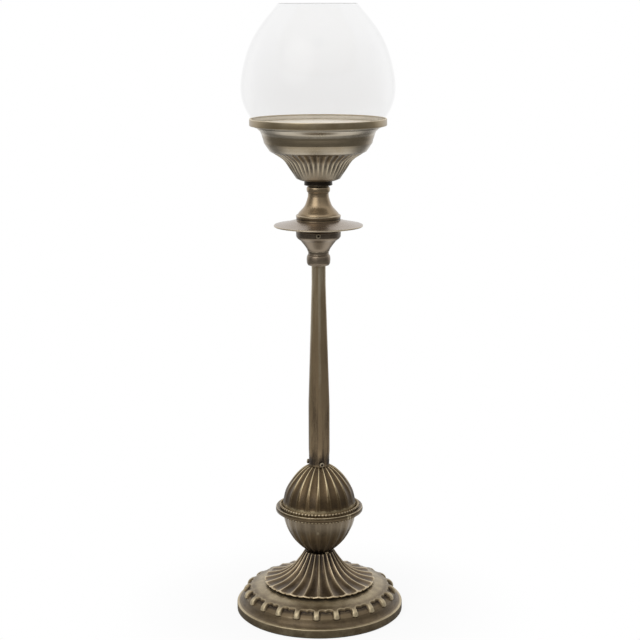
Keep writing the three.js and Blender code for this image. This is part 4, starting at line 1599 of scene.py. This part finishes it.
# White to the camera and in the glass, with the object's shadow.
# Metal mirrors it as a white ring on a dim floor.
def makePaper(name):
    finish, start = startFinish(name)
    place = objectPlace(start)
    fromAxis = start.node("ShaderNodeVectorMath", {"operation": "LENGTH"}, {0: place}, output="Value")
    away = 1 - studio["shadow"] * (1 - fromAxis.fade(*studio["shadowReach"]))
    throughGlass = lightPath(start, "Is Transmission Ray")
    shown = lightPath(start, "Is Camera Ray").larger(throughGlass)
    inMetal = lightPath(start, "Is Glossy Ray") * (1 - throughGlass)
    inner, near, far, outer = studio["whiteRing"]
    ring = fromAxis.fade(inner, near) * (1 - fromAxis.fade(far, outer))
    depth = start.node("ShaderNodeSeparateXYZ", inputs={0: place}, output="Y")
    lit = ring.larger(depth.fade(*studio["whiteBehind"]))
    paper = start.node("ShaderNodeBsdfDiffuse", inputs={"Color": studio["paper"]})
    white = glow(start, 1.0)
    seen = mixShaders(start, shown * away, paper, white)
    mirrored = mixShaders(start, lit, glow(start, studio["dimSide"]), white)
    endFinish(start, mixShaders(start, inMetal, seen, mirrored))
    return finish


def makeFloor():
    mesh = bmesh.new()
    bmesh.ops.create_grid(mesh, x_segments=2, y_segments=2, size=studio["floorSize"])
    shape = bpy.data.meshes.new("studio_floor")
    mesh.to_mesh(shape)
    mesh.free()
    shape.materials.append(makePaper("floor_paper"))
    floor = bpy.data.objects.new("studio_floor", shape)
    scene.collection.objects.link(floor)


# Soft lamps, kept out of reflections: what the metal mirrors is the room
def makeLamp(name):
    size = studio[name]
    light = bpy.data.lights.new(name + "_lamp", "AREA")
    light.energy = size["power"]
    light.size = size["size"]
    lamp = bpy.data.objects.new(name + "_lamp", light)
    scene.collection.objects.link(lamp)
    lamp.location = size["place"]
    lamp.visible_glossy = False
    lamp.visible_transmission = False
    towards = Vector(studio["aim"]) - Vector(size["place"])
    lamp.rotation_euler = towards.to_track_quat("-Z", "Y").to_euler()


# White backdrop and ceiling, a dimmer side where the camera stands, and a soft box up on the left
def makeRoom():
    room = bpy.data.worlds.new("white_room")
    scene.world = room
    room.use_nodes = True
    room.node_tree.nodes.clear()
    start = Strand(room.node_tree)
    way = start.node("ShaderNodeTexCoord", output="Generated")
    depth = start.node("ShaderNodeSeparateXYZ", inputs={0: way}, output="Y")
    backdrop = depth.fade(*studio["backdropWay"]).larger(heightOf(start, way).fade(*studio["ceilingWay"]))
    box = studio["softBox"]
    turned = {0: way, 1: box["towards"]}
    facing = start.node("ShaderNodeVectorMath", {"operation": "DOT_PRODUCT"}, turned, output="Value")
    lit = studio["dimSide"] + (1 - studio["dimSide"]) * backdrop
    lit = lit + box["level"] * facing.fade(box["outer"], box["inner"])
    mirrored = lightPath(start, "Is Glossy Ray")
    lit = lit * (studio["diffuseLevel"] + (1 - studio["diffuseLevel"]) * mirrored)
    shown = lightPath(start, "Is Camera Ray").larger(lightPath(start, "Is Transmission Ray"))
    level = lit + (1 - lit) * shown
    light = start.node("ShaderNodeBackground", inputs={"Color": grey(1.0), "Strength": level})
    start.node("ShaderNodeOutputWorld", inputs={"Surface": light})


makeFloor()
for lampName in ("key", "fill"):
    makeLamp(lampName)
makeRoom()
print("studio lit")
